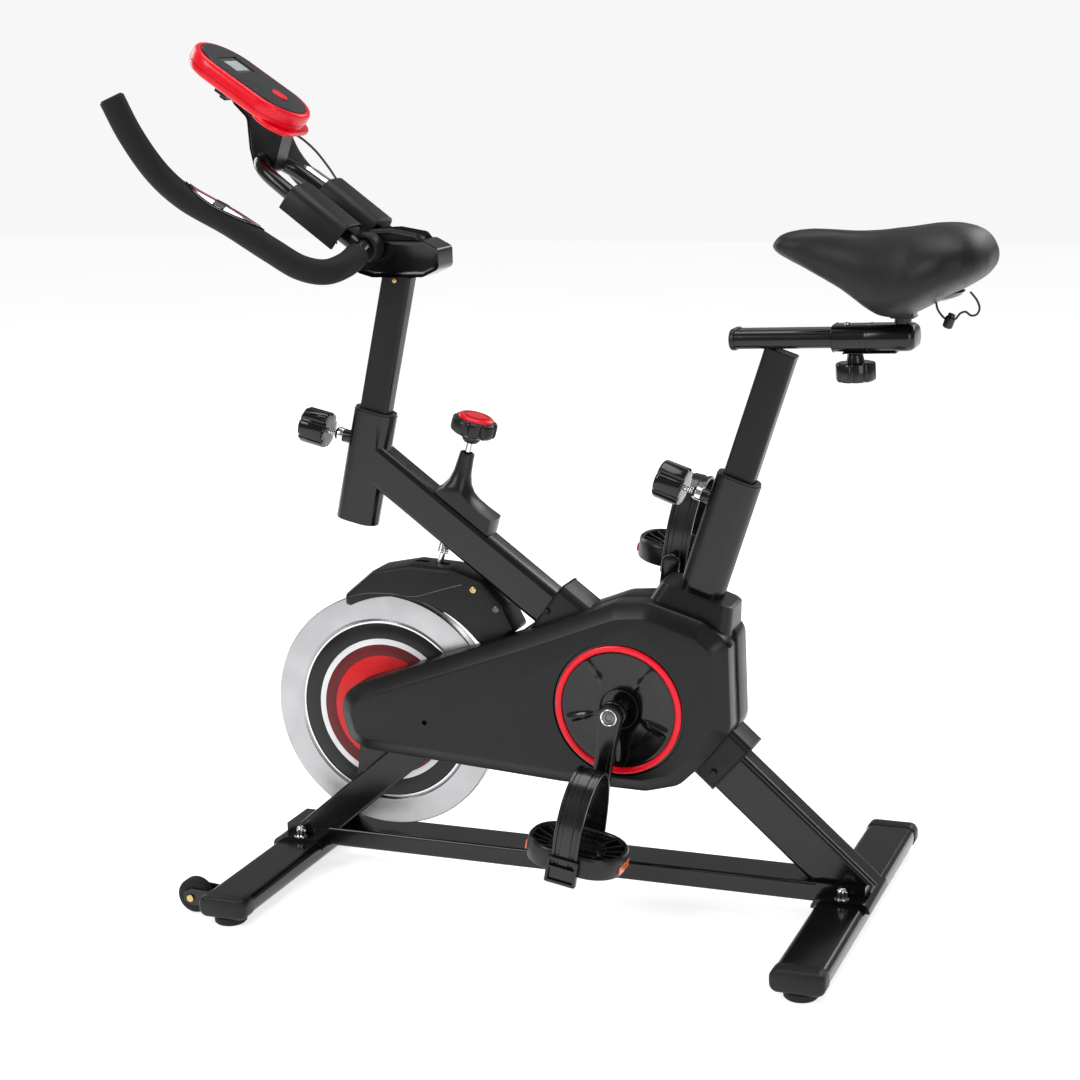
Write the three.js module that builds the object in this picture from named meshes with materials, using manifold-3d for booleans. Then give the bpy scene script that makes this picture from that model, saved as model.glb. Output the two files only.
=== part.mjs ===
// Indoor spin bike: steel frame, belt-driven flywheel, push-down brake, adjustable bar and seat.
// Millimetres, +Z up. The handlebar is at -X, the saddle at +X, the belt casing faces -Y,
// the mid-plane is y = 0 and the feet stand on z = 0.
import * as THREE from "three";
import { mergeVertices } from "three/addons/utils/BufferGeometryUtils.js";
import Module from "manifold-3d";

// ---------------------------------------------------------------- driving dimensions
const MIDDLE_X = 4.2; // moves the finished bike so that the origin lies midway along it
const GAP = 0.3; // between neighbouring pieces that are fixed together
const SLIDE_GAP = 0.35; // around each post that slides in its tube

const POST_TILT = 12.9; // handlebar post leans back, degrees from vertical
const SEAT_TILT = 18.7; // seat post leans back, degrees from vertical
const DOWN_TILT = 37.0; // main tube falls to the rear, degrees from level
const REAR_TILT = 41.8; // rear leg, degrees from level
const FORK_TILT = 40.3; // fork legs, degrees from level

const HEAD_TOP = [-276, 630]; // x, z of the head tube's upper rim centre
const HEAD_LENGTH = 150;
const SEAT_TOP = [216, 563]; // x, z of the seat tube's upper rim centre
const SEAT_LENGTH = 258;
const OUTER_TUBE = [59, 38]; // oblong head and seat tube section
const INNER_POST = [42, 26]; // post section
const BUSH_WALL = [53.4, 32.4]; // bore of the head and seat tubes
const POST_ABOVE = 189; // bare handlebar post above the head tube
const SEAT_POST_ABOVE = 172; // bare seat post above the seat tube

const DOWN_TUBE = [52, 36]; // height, width
const REAR_TUBE = [60, 40];
const FORK_TUBE = [42, 17];
const FORK_INNER = 13; // inner face of each fork leg from the mid-plane
const BASE_TUBE = [60, 26]; // width, height
const BASE_Z = 43; // centre height of the base tube
const STABILISER = [66, 27]; // width, height
const STABILISER_Z = 25.5;
const STABILISER_HALF = 268; // half length with end caps
const FRONT_X = -397;
const REAR_X = 357.5;

const CRANK = [73, 271]; // x, z of the crank axis
const CRANK_LENGTH = 160;
const CRANK_LEAN = 9; // near crank points down and this far forward, degrees
const PEDAL_TILT = 10; // pedals sit front edge up
const PEDAL_Y = 152; // centre of a pedal from the mid-plane
const WHEEL = [-276, 225]; // x, z of the flywheel axis
const WHEEL_R = 160;
const WHEEL_HALF = 9; // half thickness of the rim
const DISC_R = 121; // trim disc set into its near face
const BELT_Y = [-50, -38];
const DRIVE_R = 84;
const DRIVEN_R = 21;
const BELT_T = 3;

const CASE_NEAR = -62; // outer face of the casing on the belt side
const CASE_FAR = 40;
const CASE_SEAM = -12;
const CASE_WALL = 3;
const CASE_BEVEL = 13;
const CASE_CURVE = 2; // steps round each corner of the casing's outline

const RING_R = [76, 84]; // red ring of the round cover
const BAR_R = 16; // foam grip radius
const TUBE_R = 12.5; // bare bar radius

// ---------------------------------------------------------------- materials
const paint = (color, roughness, metalness = 0) =>
  new THREE.MeshStandardMaterial({ color, roughness, metalness });
const GLOSS_BLACK = () => paint(0x0d0d0e, 0.22);
const SATIN_BLACK = () => paint(0x18181a, 0.45);
const MATT_PLASTIC = () => paint(0x1e1e20, 0.6);
const FOAM = () => paint(0x202022, 0.9);
const RUBBER = () => paint(0x121213, 0.85);
const LEATHER = () => paint(0x2a2a2d, 0.6);
const CHROME = () => paint(0xc9c9cb, 0.15, 1);
const STEEL = () => paint(0x8f8f92, 0.35, 1);
const RED = () => paint(0xe0102a, 0.3);
const GREY = () => paint(0x3a3b3e, 0.5);

// ---------------------------------------------------------------- solid helpers
const wasm = await Module();
wasm.setup();
const rad = THREE.MathUtils.degToRad;
const V = (x, y, z) => new THREE.Vector3(x, y, z);

function solid(geometry) {
  const g = geometry.index ? geometry.toNonIndexed() : geometry.clone();
  g.deleteAttribute("normal");
  g.deleteAttribute("uv");
  const m = mergeVertices(g, 1e-3);
  const triVerts = [];
  for (let i = 0; i < m.index.count; i += 3) {
    const [a, b, c] = m.index.array.slice(i, i + 3);
    if (a !== b && b !== c && c !== a) triVerts.push(a, b, c);
  }
  return new wasm.Manifold(
    new wasm.Mesh({
      numProp: 3,
      vertProperties: m.attributes.position.array,
      triVerts: new Uint32Array(triVerts),
    }),
  );
}

const join = (first, ...rest) => rest.reduce((a, b) => a.add(b), first);
const less = (first, ...rest) => rest.reduce((a, b) => a.subtract(b), first);

function geometryOf(body) {
  const m = body.getMesh();
  const position = new Float32Array(m.numVert * 3);
  for (let i = 0; i < m.numVert; i++)
    position.set(m.vertProperties.subarray(i * m.numProp, i * m.numProp + 3), i * 3);
  const g = new THREE.BufferGeometry()
    .setAttribute("position", new THREE.BufferAttribute(position, 3))
    .setIndex(new THREE.BufferAttribute(m.triVerts, 1))
    .toNonIndexed();
  g.computeVertexNormals();
  return g;
}

// Rounded rectangle centred on the origin, w along its x and h along its y.
function roundRect(w, h, r) {
  const s = new THREE.Shape();
  const x = w / 2;
  const y = h / 2;
  s.moveTo(-x + r, -y);
  s.lineTo(x - r, -y);
  s.absarc(x - r, -y + r, r, -Math.PI / 2, 0, false);
  s.lineTo(x, y - r);
  s.absarc(x - r, y - r, r, 0, Math.PI / 2, false);
  s.lineTo(-x + r, y);
  s.absarc(-x + r, y - r, r, Math.PI / 2, Math.PI, false);
  s.lineTo(-x, -y + r);
  s.absarc(-x + r, -y + r, r, Math.PI, Math.PI * 1.5, false);
  return s;
}
const oblong = (w, h) => roundRect(w, h, h / 2 - 0.01);

function circle(r) {
  const s = new THREE.Shape();
  s.absarc(0, 0, r, 0, Math.PI * 2, false);
  return s;
}

function polygon(points) {
  return new THREE.Shape(points.map(([x, y]) => new THREE.Vector2(x, y)));
}

// A closed outline with each corner rounded by its own radius: [x, y, r].
function softPolygon(points) {
  const s = new THREE.Shape();
  const n = points.length;
  points.forEach(([x, y, r = 0], i) => {
    const [px, py] = points[(i + n - 1) % n];
    const [qx, qy] = points[(i + 1) % n];
    const a = new THREE.Vector2(px - x, py - y).normalize();
    const b = new THREE.Vector2(qx - x, qy - y).normalize();
    const cut = r / Math.tan(Math.acos(a.dot(b)) / 2);
    const from = [x + a.x * cut, y + a.y * cut];
    const to = [x + b.x * cut, y + b.y * cut];
    if (i === 0) s.moveTo(...from);
    else s.lineTo(...from);
    if (r > 0) s.quadraticCurveTo(x, y, ...to);
  });
  s.closePath();
  return s;
}

// Extrudes a shape from one point to another. The shape's y axis follows `side`.
function beam(shape, from, to, side = V(0, 1, 0), curveSegments = 2) {
  const z = to.clone().sub(from);
  const g = new THREE.ExtrudeGeometry(shape, {
    depth: z.length(),
    bevelEnabled: false,
    curveSegments,
  });
  z.normalize();
  const x = new THREE.Vector3().crossVectors(side, z).normalize();
  const y = new THREE.Vector3().crossVectors(z, x);
  g.applyMatrix4(new THREE.Matrix4().makeBasis(x, y, z).setPosition(from));
  return solid(g);
}

// Extrudes an outline drawn in x, z from y0 to y1.
function plate(shape, y0, y1, curveSegments = 3) {
  const g = new THREE.ExtrudeGeometry(shape, {
    depth: y1 - y0,
    bevelEnabled: false,
    curveSegments,
  });
  g.rotateX(Math.PI / 2);
  g.translate(0, y1, 0);
  return solid(g);
}

function rod(r, from, to, sides = 16) {
  const dir = to.clone().sub(from).normalize();
  const side = Math.abs(dir.y) > 0.9 ? V(0, 0, 1) : V(0, 1, 0);
  return beam(circle(r), from, to, side, sides / 2);
}

// Turns a closed profile of [radius, height] points about an axis.
function turned(profile, origin, axis, sides = 24) {
  const points = profile.map(([r, h]) => new THREE.Vector2(r, h));
  points.push(points[0].clone());
  const g = new THREE.LatheGeometry(points, sides);
  const turn = new THREE.Quaternion().setFromUnitVectors(V(0, 1, 0), axis.clone().normalize());
  g.applyQuaternion(turn);
  g.translate(origin.x, origin.y, origin.z);
  const made = solid(g);
  return made.volume() < 0 ? turned([...profile].reverse(), origin, axis, sides) : made;
}

// A round tube along a smooth path.
function pipe(points, r, sides, steps, closed = false) {
  const path = new THREE.CatmullRomCurve3(points, closed, "centripetal");
  const section = new THREE.Shape();
  for (let i = 0; i < sides; i++) {
    const a = (i / sides) * Math.PI * 2;
    if (i === 0) section.moveTo(r, 0);
    else section.lineTo(r * Math.cos(a), r * Math.sin(a));
  }
  section.closePath();
  return solid(
    new THREE.ExtrudeGeometry(section, { steps, extrudePath: path, bevelEnabled: false }),
  );
}

// Along-tube directions in the x, z plane.
const upPost = V(Math.sin(rad(POST_TILT)), 0, Math.cos(rad(POST_TILT)));
const upSeat = V(Math.sin(rad(SEAT_TILT)), 0, Math.cos(rad(SEAT_TILT)));
const downBack = (deg) => V(Math.cos(rad(deg)), 0, -Math.sin(rad(deg)));
const along = (origin, dir, s) => origin.clone().addScaledVector(dir, s);
const headTop = V(HEAD_TOP[0], 0, HEAD_TOP[1]);
const seatTop = V(SEAT_TOP[0], 0, SEAT_TOP[1]);
const crankAt = (y) => V(CRANK[0], y, CRANK[1]);
const wheelAt = (y) => V(WHEEL[0], y, WHEEL[1]);

const root = new THREE.Group();
root.name = "spin_bike";
function add(name, body, material) {
  const mesh = new THREE.Mesh(geometryOf(body).translate(MIDDLE_X, 0, 0), material);
  mesh.name = name;
  root.add(mesh);
}

// ---------------------------------------------------------------- welded frame
function mainFrame() {
  const headBottom = along(headTop, upPost, -HEAD_LENGTH);
  const back = downBack(DOWN_TILT);
  const start = V(-283, 0, 568);
  const end = V(64, 0, 306.5);
  const outer = join(
    beam(oblong(...OUTER_TUBE), headBottom, headTop),
    beam(roundRect(...DOWN_TUBE, 8), start, end),
  );
  const bore = beam(
    oblong(...BUSH_WALL),
    along(headBottom, upPost, -5),
    along(headTop, upPost, 5),
  );
  const inside = beam(
    roundRect(DOWN_TUBE[0] - 5, DOWN_TUBE[1] - 5, 5.5),
    along(start, back, 33),
    along(end, back, 5),
    undefined,
    1,
  );
  const knobHole = rod(4.6, frontKnob(20), frontKnob(60), 8);
  const knobBoss = rod(9, frontKnob(27.5), frontKnob(38), 12);
  const rodHole = rod(6.5, brakeRod(-130), brakeRod(60), 10);
  return less(join(outer, knobBoss), bore, inside, knobHole, rodHole);
}

// Points on the clamp knobs' axes, measured outward from the tube's axis.
function frontKnob(s) {
  const mid = along(headTop, upPost, -43);
  return mid.addScaledVector(V(-Math.cos(rad(POST_TILT)), 0, Math.sin(rad(POST_TILT))), s);
}

function rearKnob(s) {
  const mid = along(seatTop, upSeat, -36);
  return mid.addScaledVector(V(-Math.cos(rad(SEAT_TILT)), 0, Math.sin(rad(SEAT_TILT))), s);
}

// Points on the brake rod's axis, measured up from where it leaves the main tube.
const ROD_TOP = V(-149.6, 0, 576);
const ROD_TILT = 16.5;
const brakeRod = (s) =>
  along(ROD_TOP, V(Math.sin(rad(ROD_TILT)), 0, Math.cos(rad(ROD_TILT))), s);

function seatTube() {
  const bottom = along(seatTop, upSeat, -SEAT_LENGTH);
  const outer = beam(oblong(...OUTER_TUBE), bottom, seatTop);
  const bore = beam(
    oblong(...BUSH_WALL),
    along(bottom, upSeat, -5),
    along(seatTop, upSeat, 5),
  );
  const boss = rod(9, rearKnob(27.5), rearKnob(38), 12);
  return less(join(outer, boss), bore, rod(4.6, rearKnob(20), rearKnob(60), 8));
}

// Plastic sleeve that fills a tube round its post, with a lip on the rim.
function postSleeve(top, up, pinAt) {
  const low = along(top, up, -95);
  const lipTop = along(top, up, 3);
  const body = join(
    beam(oblong(BUSH_WALL[0] - 2 * GAP, BUSH_WALL[1] - 2 * GAP), low, lipTop),
    beam(oblong(57, 36), along(top, up, GAP), lipTop),
  );
  const bore = beam(
    roundRect(INNER_POST[0] + 2 * SLIDE_GAP, INNER_POST[1] + 2 * SLIDE_GAP, 6.3),
    along(low, up, -5),
    along(lipTop, up, 5),
    undefined,
    2,
  );
  return less(body, bore, rod(4.6, pinAt(15), pinAt(60), 8));
}

// Rear leg welded to the crank housing: a cross tube between two side plates.
function rearLeg() {
  const back = downBack(REAR_TILT);
  const start = V(112, 0, 270.4);
  const leg = less(
    beam(roundRect(...REAR_TUBE, 8), start, along(start, back, 420)),
    beam(
      roundRect(REAR_TUBE[0] - 5, REAR_TUBE[1] - 5, 5.5),
      along(start, back, -5),
      along(start, back, 425),
      undefined,
      1,
    ),
    plate(polygon([[150, -300], [600, -300], [600, BASE_Z + 13.3], [150, BASE_Z + 13.3]]), -60, 60),
  );
  const outline = polygon([
    [26, 318],
    [50, 352],
    [100, 350],
    [148, 322],
    [174, 250],
    [150, 218],
    [92, 234],
    [46, 242],
  ]);
  const cheeks = [-1, 1].map((s) => {
    const ys = [s * 20, s * 25].sort((a, b) => a - b);
    return plate(outline, ...ys);
  });
  const shell = rod(22, crankAt(-34), crankAt(34), 16);
  return less(join(leg, ...cheeks, shell), rod(15.5, crankAt(-40), crankAt(40), 16));
}

// Base tube with the saddle plate that wraps each stabiliser.
function baseTube() {
  const tube = less(
    beam(
      roundRect(BASE_TUBE[1], BASE_TUBE[0], 4),
      V(FRONT_X + STABILISER[0] / 2 + 2, 0, BASE_Z),
      V(REAR_X - STABILISER[0] / 2 - 2, 0, BASE_Z),
    ),
    beam(
      roundRect(BASE_TUBE[1] - 5, BASE_TUBE[0] - 5, 2.5),
      V(FRONT_X + STABILISER[0] / 2 + 6, 0, BASE_Z),
      V(REAR_X - STABILISER[0] / 2 - 6, 0, BASE_Z),
      undefined,
      1,
    ),
    rod(5, V(0, 0, 20), V(0, 0, BASE_Z), 8),
  );
  return join(tube, saddlePlate(FRONT_X, 1), saddlePlate(REAR_X, -1));
}

function saddlePlate(x, towards) {
  const top = STABILISER_Z + STABILISER[1] / 2;
  const skin = 5;
  const hood = less(
    beam(
      roundRect(STABILISER[0] + 2 * skin, STABILISER[1] + 2 * skin, 13),
      V(x, -52, STABILISER_Z),
      V(x, 52, STABILISER_Z),
      V(0, 0, 1),
    ),
    beam(
      roundRect(STABILISER[0] + 2 * GAP, STABILISER[1] + 2 * GAP, 10),
      V(x, -60, STABILISER_Z),
      V(x, 60, STABILISER_Z),
      V(0, 0, 1),
    ),
    plate(polygon([[x - 60, 0], [x + 60, 0], [x + 60, 31], [x - 60, 31]]), -70, 70),
  );
  const reach = [x - towards * (STABILISER[0] / 2 - 6), x + towards * (STABILISER[0] / 2 + 3)];
  const [lo, hi] = reach.sort((a, b) => a - b);
  const deck = plate(
    polygon([[lo, top + 2], [hi, top + 2], [hi, BASE_Z + 13], [lo, BASE_Z + 13]]),
    -30,
    30,
  );
  const bolts = [-41, 41].map((y) => domeBolt(x, y, top + skin - 0.5));
  return join(hood, deck, ...bolts);
}

// Washer, nut and domed end of the bolt that holds a stabiliser.
function domeBolt(x, y, z) {
  return turned(
    [[0, -1], [9, -1], [9, 2], [6.5, 2], [6.5, 11], [0, 15]],
    V(x, y, z),
    V(0, 0, 1),
    8,
  );
}

// Two legs either side of the flywheel, joined by a bridge under the main tube.
function fork() {
  const down = V(-Math.cos(rad(FORK_TILT)), 0, -Math.sin(rad(FORK_TILT)));
  const top = V(-6, 0, 368.1);
  const foot = along(top, down, 560);
  const deck = BASE_Z + BASE_TUBE[1] / 2 + GAP;
  const under = plate(polygon([[-500, -400], [100, -400], [100, deck], [-500, deck]]), -60, 60);
  const legs = [-1, 1].map((s) => {
    const y = s * (FORK_INNER + FORK_TUBE[1] / 2);
    return beam(roundRect(...FORK_TUBE, 4), V(top.x, y, top.z), V(foot.x, y, foot.z));
  });
  const ears = [-1, 1].map((s) => {
    const ys = [s * FORK_INNER, s * (FORK_INNER + 5)].sort((a, b) => a - b);
    return plate(
      polygon([
        [-322, 106],
        [-304, 238],
        [-290, 250],
        [-263, 250],
        [-248, 238],
        [-212, 200],
        [-246, 146],
      ]),
      ...ys,
    );
  });
  const bridge = beam(
    roundRect(FORK_TUBE[0] - 3, 2 * FORK_INNER + 2, 2),
    along(top, down, 25),
    along(top, down, 90),
  );
  const mainTube = beam(
    roundRect(DOWN_TUBE[0] + 2 * GAP + 1, 90, 8),
    V(-283, 0, 568),
    V(140, 0, 249.5),
  );
  const axleHole = rod(6.4, wheelAt(-60), wheelAt(60), 12);
  return less(join(...legs, ...ears, bridge), under, mainTube, axleHole);
}

// Stabiliser tube with the ears that hold the transport wheels (front one only).
function stabiliser(x, wheels) {
  const end = STABILISER_HALF - 26;
  const tube = less(
    beam(roundRect(...STABILISER, 10), V(x, -end, STABILISER_Z), V(x, end, STABILISER_Z), V(0, 0, 1)),
    beam(
      roundRect(STABILISER[0] - 5, STABILISER[1] - 5, 7.5),
      V(x, -end - 5, STABILISER_Z),
      V(x, end + 5, STABILISER_Z),
      V(0, 0, 1),
      1,
    ),
  );
  if (!wheels) return tube;
  const ears = [-1, 1].flatMap((s) =>
    [TRANSPORT_Y - 14.5, TRANSPORT_Y + 11.5].map((y) => {
      const ys = [s * y, s * (y + 3)].sort((a, b) => a - b);
      return plate(
        polygon([
          [x - 30, 14],
          [x - 30, 34],
          [x - 58, 36],
          [x - 71, 30],
          [x - 71, 18],
          [x - 60, 13],
        ]),
        ...ys,
      );
    }),
  );
  const axleAt = (y) => V(TRANSPORT_X, y, TRANSPORT_R);
  const axles = [-1, 1].map((s) =>
    rod(5.5, axleAt(s * TRANSPORT_Y - 30), axleAt(s * TRANSPORT_Y + 30), 12),
  );
  return less(join(tube, ...ears), ...axles);
}

// Moulded end cap with its round foot.
function endCap(x, side) {
  const inner = side * (STABILISER_HALF - 26 + GAP);
  const [y0, y1] = [inner, side * STABILISER_HALF].sort((a, b) => a - b);
  const shell = beam(
    roundRect(STABILISER[0] + 2, STABILISER[1] + 2, 11),
    V(x, y0, STABILISER_Z),
    V(x, y1, STABILISER_Z),
    V(0, 0, 1),
  );
  const foot = turned(
    [[0, 0], [19, 0], [21, 2.5], [21, 10], [0, 13]],
    V(x, side * (STABILISER_HALF - 24), 0),
    V(0, 0, 1),
    14,
  );
  const tubeRoom = beam(
    roundRect(STABILISER[0] + 2 * GAP, STABILISER[1] + 2 * GAP, 10),
    V(x, -STABILISER_HALF + 26, STABILISER_Z),
    V(x, STABILISER_HALF - 26, STABILISER_Z),
    V(0, 0, 1),
  );
  return less(join(shell, foot), tubeRoom);
}

const TRANSPORT_Y = 226;
const TRANSPORT_X = FRONT_X - 60;
const TRANSPORT_R = 23;
function transportWheel(side) {
  const at = V(TRANSPORT_X, side * TRANSPORT_Y, TRANSPORT_R);
  return turned(
    [[0, -17.5], [5, -17.5], [5, -11], [18, -11], [TRANSPORT_R, -7], [TRANSPORT_R, 7], [18, 11], [5, 11],
      [5, 17.5], [0, 17.5]],
    at,
    V(0, 1, 0),
    16,
  );
}

// ---------------------------------------------------------------- flywheel and drive
function flywheel() {
  return turned(
    [[6.4, -5], [DISC_R + 1, -5], [DISC_R + 5, -WHEEL_HALF], [WHEEL_R - 1.5, -WHEEL_HALF],
      [WHEEL_R, -WHEEL_HALF + 1.5], [WHEEL_R, WHEEL_HALF - 1.5], [WHEEL_R - 1.5, WHEEL_HALF],
      [DISC_R + 5, WHEEL_HALF], [DISC_R + 1, 5], [6.4, 5]],
    wheelAt(0),
    V(0, 1, 0),
    40,
  );
}

// Decorated trim disc set into the near face of the flywheel.
function flywheelDisc() {
  return turned([[16.5, -8.2], [16.5, -5.3], [DISC_R, -5.3], [DISC_R, -8.2]], wheelAt(0), V(0, 1, 0), 36);
}

// Hub sleeve and belt pulley that turn with the flywheel, outboard of the near leg.
function flywheelPulley() {
  const [y0, y1] = BELT_Y;
  return turned(
    [[6.4, y0 - 1.5], [DRIVEN_R + 3, y0 - 1.5], [DRIVEN_R + 3, y0], [DRIVEN_R, y0], [DRIVEN_R, y1],
      [DRIVEN_R + 3, y1], [DRIVEN_R + 3, y1 + 1.5], [6.4, y1 + 1.5]],
    wheelAt(0),
    V(0, 1, 0),
    20,
  );
}

function flywheelAxle() {
  const shaft = rod(6, wheelAt(-54), wheelAt(34), 12);
  const nuts = [[-54, -52], [18.3, 27]].map(([a, b]) => rod(10, wheelAt(a), wheelAt(b), 6));
  return join(shaft, ...nuts);
}

// Large pulley on the crank spindle.
function drivePulley() {
  const [y0, y1] = BELT_Y;
  return turned(
    [[0, -86], [8, -86], [8, y0 - 1.5], [DRIVE_R + 3, y0 - 1.5], [DRIVE_R + 3, y0], [DRIVE_R, y0],
      [DRIVE_R, y1], [DRIVE_R + 3, y1], [DRIVE_R + 3, y1 + 1.5], [15, y1 + 1.5], [15, 36], [8, 40],
      [8, 86], [0, 86]],
    crankAt(0),
    V(0, 1, 0),
    24,
  );
}

function belt() {
  const outline = (extra) => {
    const d = new THREE.Vector2(WHEEL[0] - CRANK[0], WHEEL[1] - CRANK[1]);
    const reach = d.length();
    const turn = d.angle();
    const lean = Math.acos((DRIVE_R - DRIVEN_R) / reach);
    const s = new THREE.Shape();
    s.absarc(CRANK[0], CRANK[1], DRIVE_R + extra, turn + lean, turn - lean + Math.PI * 2, false);
    s.absarc(WHEEL[0], WHEEL[1], DRIVEN_R + extra, turn - lean, turn + lean, false);
    s.closePath();
    return s;
  };
  const [y0, y1] = BELT_Y;
  return less(
    plate(outline(BELT_T), y0 + 0.6, y1 - 0.6, 11),
    plate(outline(0.5), y0 - 5, y1 + 5, 11),
  );
}

const crankTip = (side) => {
  const a = rad(CRANK_LEAN);
  return [CRANK[0] + side * Math.sin(a) * CRANK_LENGTH, CRANK[1] + side * Math.cos(a) * CRANK_LENGTH];
};

// side is -1 for the near crank, which points down, and 1 for the far one, which points up.
function crankArm(side) {
  const [x, z] = crankTip(side);
  const ys = (a, b) => [side * a, side * b].sort((p, q) => p - q);
  const turn = Math.atan2(z - CRANK[1], x - CRANK[0]);
  const local = new THREE.Shape();
  local.absarc(0, 0, 16, Math.PI * 0.62, Math.PI * 1.38, false);
  local.absarc(CRANK_LENGTH, 0, 12, -Math.PI / 2, Math.PI / 2, false);
  local.closePath();
  const outline = new THREE.Shape(
    local.getPoints(8).map((p) =>
      p.clone().rotateAround(new THREE.Vector2(0, 0), turn).add(new THREE.Vector2(...CRANK)),
    ),
  );
  const arm = plate(outline, ...ys(84, 97));
  const boss = rod(17, crankAt(side * 76), crankAt(side * 97), 16);
  const cap = rod(10.5, crankAt(side * 96), crankAt(side * 100), 16);
  const spindle = rod(6, V(x, side * 90, z), V(x, side * 196, z), 12);
  const nose = rod(8.4, crankAt(side * 60), crankAt(side * 86.3), 16);
  return less(join(arm, boss, cap, spindle), nose);
}

// A pedal's outline and ribs are drawn level, then turned to its rest angle.
function turnAbout(x, z, degrees, geometryBody) {
  const g = geometryOf(geometryBody);
  g.translate(-x, 0, -z);
  g.rotateY(rad(degrees));
  g.translate(x, 0, z);
  return solid(g);
}

const PEDAL_SIZE = [126, 97, 28]; // length, width, thickness
const STRAP_WIDTH = 34;
const STRAP_TOP = 104; // inner face of the strap above the pedal axis
function pedal(side) {
  const [x, z] = crankTip(side);
  const [length, width, thick] = PEDAL_SIZE;
  const y = side * PEDAL_Y;
  const up = V(0, 1, 0);
  const level = (w, h, r, z0, z1) =>
    beam(roundRect(w, h, r), V(x, y, z + z0), V(x, y, z + z1), up);
  const frame = less(
    level(length, width, 44, -thick / 2, thick / 2),
    level(length - 14, width - 14, 37, -thick, thick),
  );
  const core = rod(11, V(x, y - width / 2 + 1, z), V(x, y + width / 2 - 1, z), 8);
  const treads = [-27, 27].map((dx) => slab(
    x + dx - 15, x + dx + 15, y - width / 2 + 4, y + width / 2 - 4, z - 1, z + 8));
  const ribs = [-1, 1].flatMap((k) =>
    [0, 180].map((base) => {
      const a = rad(base + k * 38);
      const dir = V(Math.cos(a), Math.sin(a), 0);
      const far = 1 / Math.hypot(Math.cos(a) / (length / 2 - 4), Math.sin(a) / (width / 2 - 4));
      const rib = new THREE.BoxGeometry(far - 4, 3, thick - 6);
      rib.translate((far + 4) / 2, 0, 0);
      rib.rotateZ(a);
      rib.translate(x, y, z);
      return solid(rib);
    }),
  );
  const bore = rod(6.4, V(x, y - 80, z), V(x, y + 80, z), 16);
  return turnAbout(x, z, PEDAL_TILT, less(join(frame, core, ...treads, ...ribs), bore));
}

// Strap that arches over the pedal from its outer edge to its inner edge.
function pedalStrap(side) {
  const [x, z] = crankTip(side);
  const y = side * PEDAL_Y;
  const half = PEDAL_SIZE[1] / 2;
  const arch = (grow) => {
    const s = new THREE.Shape();
    s.moveTo(-half - 1 - grow, -18);
    s.lineTo(-half - 1 - grow, 12);
    s.bezierCurveTo(-half - 7 - grow, STRAP_TOP - 26, -24, STRAP_TOP + grow, 4, STRAP_TOP + grow);
    s.bezierCurveTo(32, STRAP_TOP + grow, half - 2 + grow, STRAP_TOP - 34, half + 1 + grow, 12);
    s.lineTo(half + 1 + grow, -18);
    s.closePath();
    return s;
  };
  const overPedal = (shape, w) =>
    beam(shape, V(x - w / 2, y, z), V(x + w / 2, y, z), V(0, 0, 1), 6);
  const buckle = beam(
    roundRect(STRAP_WIDTH + 6, 34, 4),
    V(x, y + side * (half + 1.5), z - 8),
    V(x, y + side * (half + 9), z - 8),
    V(0, 0, 1),
  );
  const spindleRoom = rod(9, V(x, side * 95, z), V(x, side * 112, z), 16);
  const band = less(overPedal(arch(3.2), STRAP_WIDTH), overPedal(arch(0), 60), spindleRoom);
  return turnAbout(x, z, PEDAL_TILT, join(band, buckle));
}

// ---------------------------------------------------------------- casing
const CASE_OUTLINE = [
  [-323, 232, 12],
  [-317, 256, 12],
  [-298, 271, 14],
  [-62, 357, 20],
  [66, 407, 30],
  [112, 411, 30],
  [182, 390, 14],
  [214, 366, 14],
  [217, 250, 14],
  [180, 204, 16],
  [148, 173, 20],
  [104, 161, 20],
  [-12, 163, 10],
  [-290, 181, 12],
  [-313, 194, 12],
];
const CASE_REAR = [
  [-72, 168, 6],
  [-72, 354, 6],
  [66, 408, 30],
  [112, 412, 30],
  [184, 396, 14],
  [216, 372, 14],
  [219, 250, 14],
  [182, 204, 16],
  [150, 173, 20],
  [105, 161, 20],
  [-12, 163, 10],
];

const sharp = (points) => points.map(([x, z]) => [x, z, 0]);

// Moves every edge of a clockwise outline inward by d.
function drawnIn(points, d) {
  const n = points.length;
  const edge = (i) => {
    const [x0, y0] = points[(i + n) % n];
    const [x1, y1] = points[(i + n + 1) % n];
    const len = Math.hypot(x1 - x0, y1 - y0);
    const nx = (y1 - y0) / len;
    const ny = -(x1 - x0) / len;
    return [nx, ny, nx * x0 + ny * y0 + d];
  };
  return points.map(([, , r], i) => {
    const [a1, b1, c1] = edge(i - 1);
    const [a2, b2, c2] = edge(i);
    const det = a1 * b2 - a2 * b1;
    return [(c1 * b2 - c2 * b1) / det, (a1 * c2 - a2 * c1) / det, r && Math.max(r - d * 0.6, 1)];
  });
}

// Solid between an outline at y0 and one with the same corners at y1 (y1 above y0).
function blend(low, high, y0, y1) {
  const lowPoints = softPolygon(low).getPoints(CASE_CURVE);
  const highShape = softPolygon(high);
  const highPoints = highShape.getPoints(CASE_CURVE);
  const g = new THREE.ExtrudeGeometry(highShape, {
    depth: 1,
    bevelEnabled: false,
    curveSegments: CASE_CURVE,
  });
  const p = g.attributes.position;
  for (let i = 0; i < p.count; i++) {
    if (p.getZ(i) < 0.5) continue;
    const k = highPoints.findIndex((q) => Math.hypot(q.x - p.getX(i), q.y - p.getY(i)) < 1e-4);
    p.setXY(i, lowPoints[k].x, lowPoints[k].y);
  }
  g.scale(1, 1, y1 - y0);
  g.rotateX(Math.PI / 2);
  g.translate(0, y1, 0);
  return solid(g);
}

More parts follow.
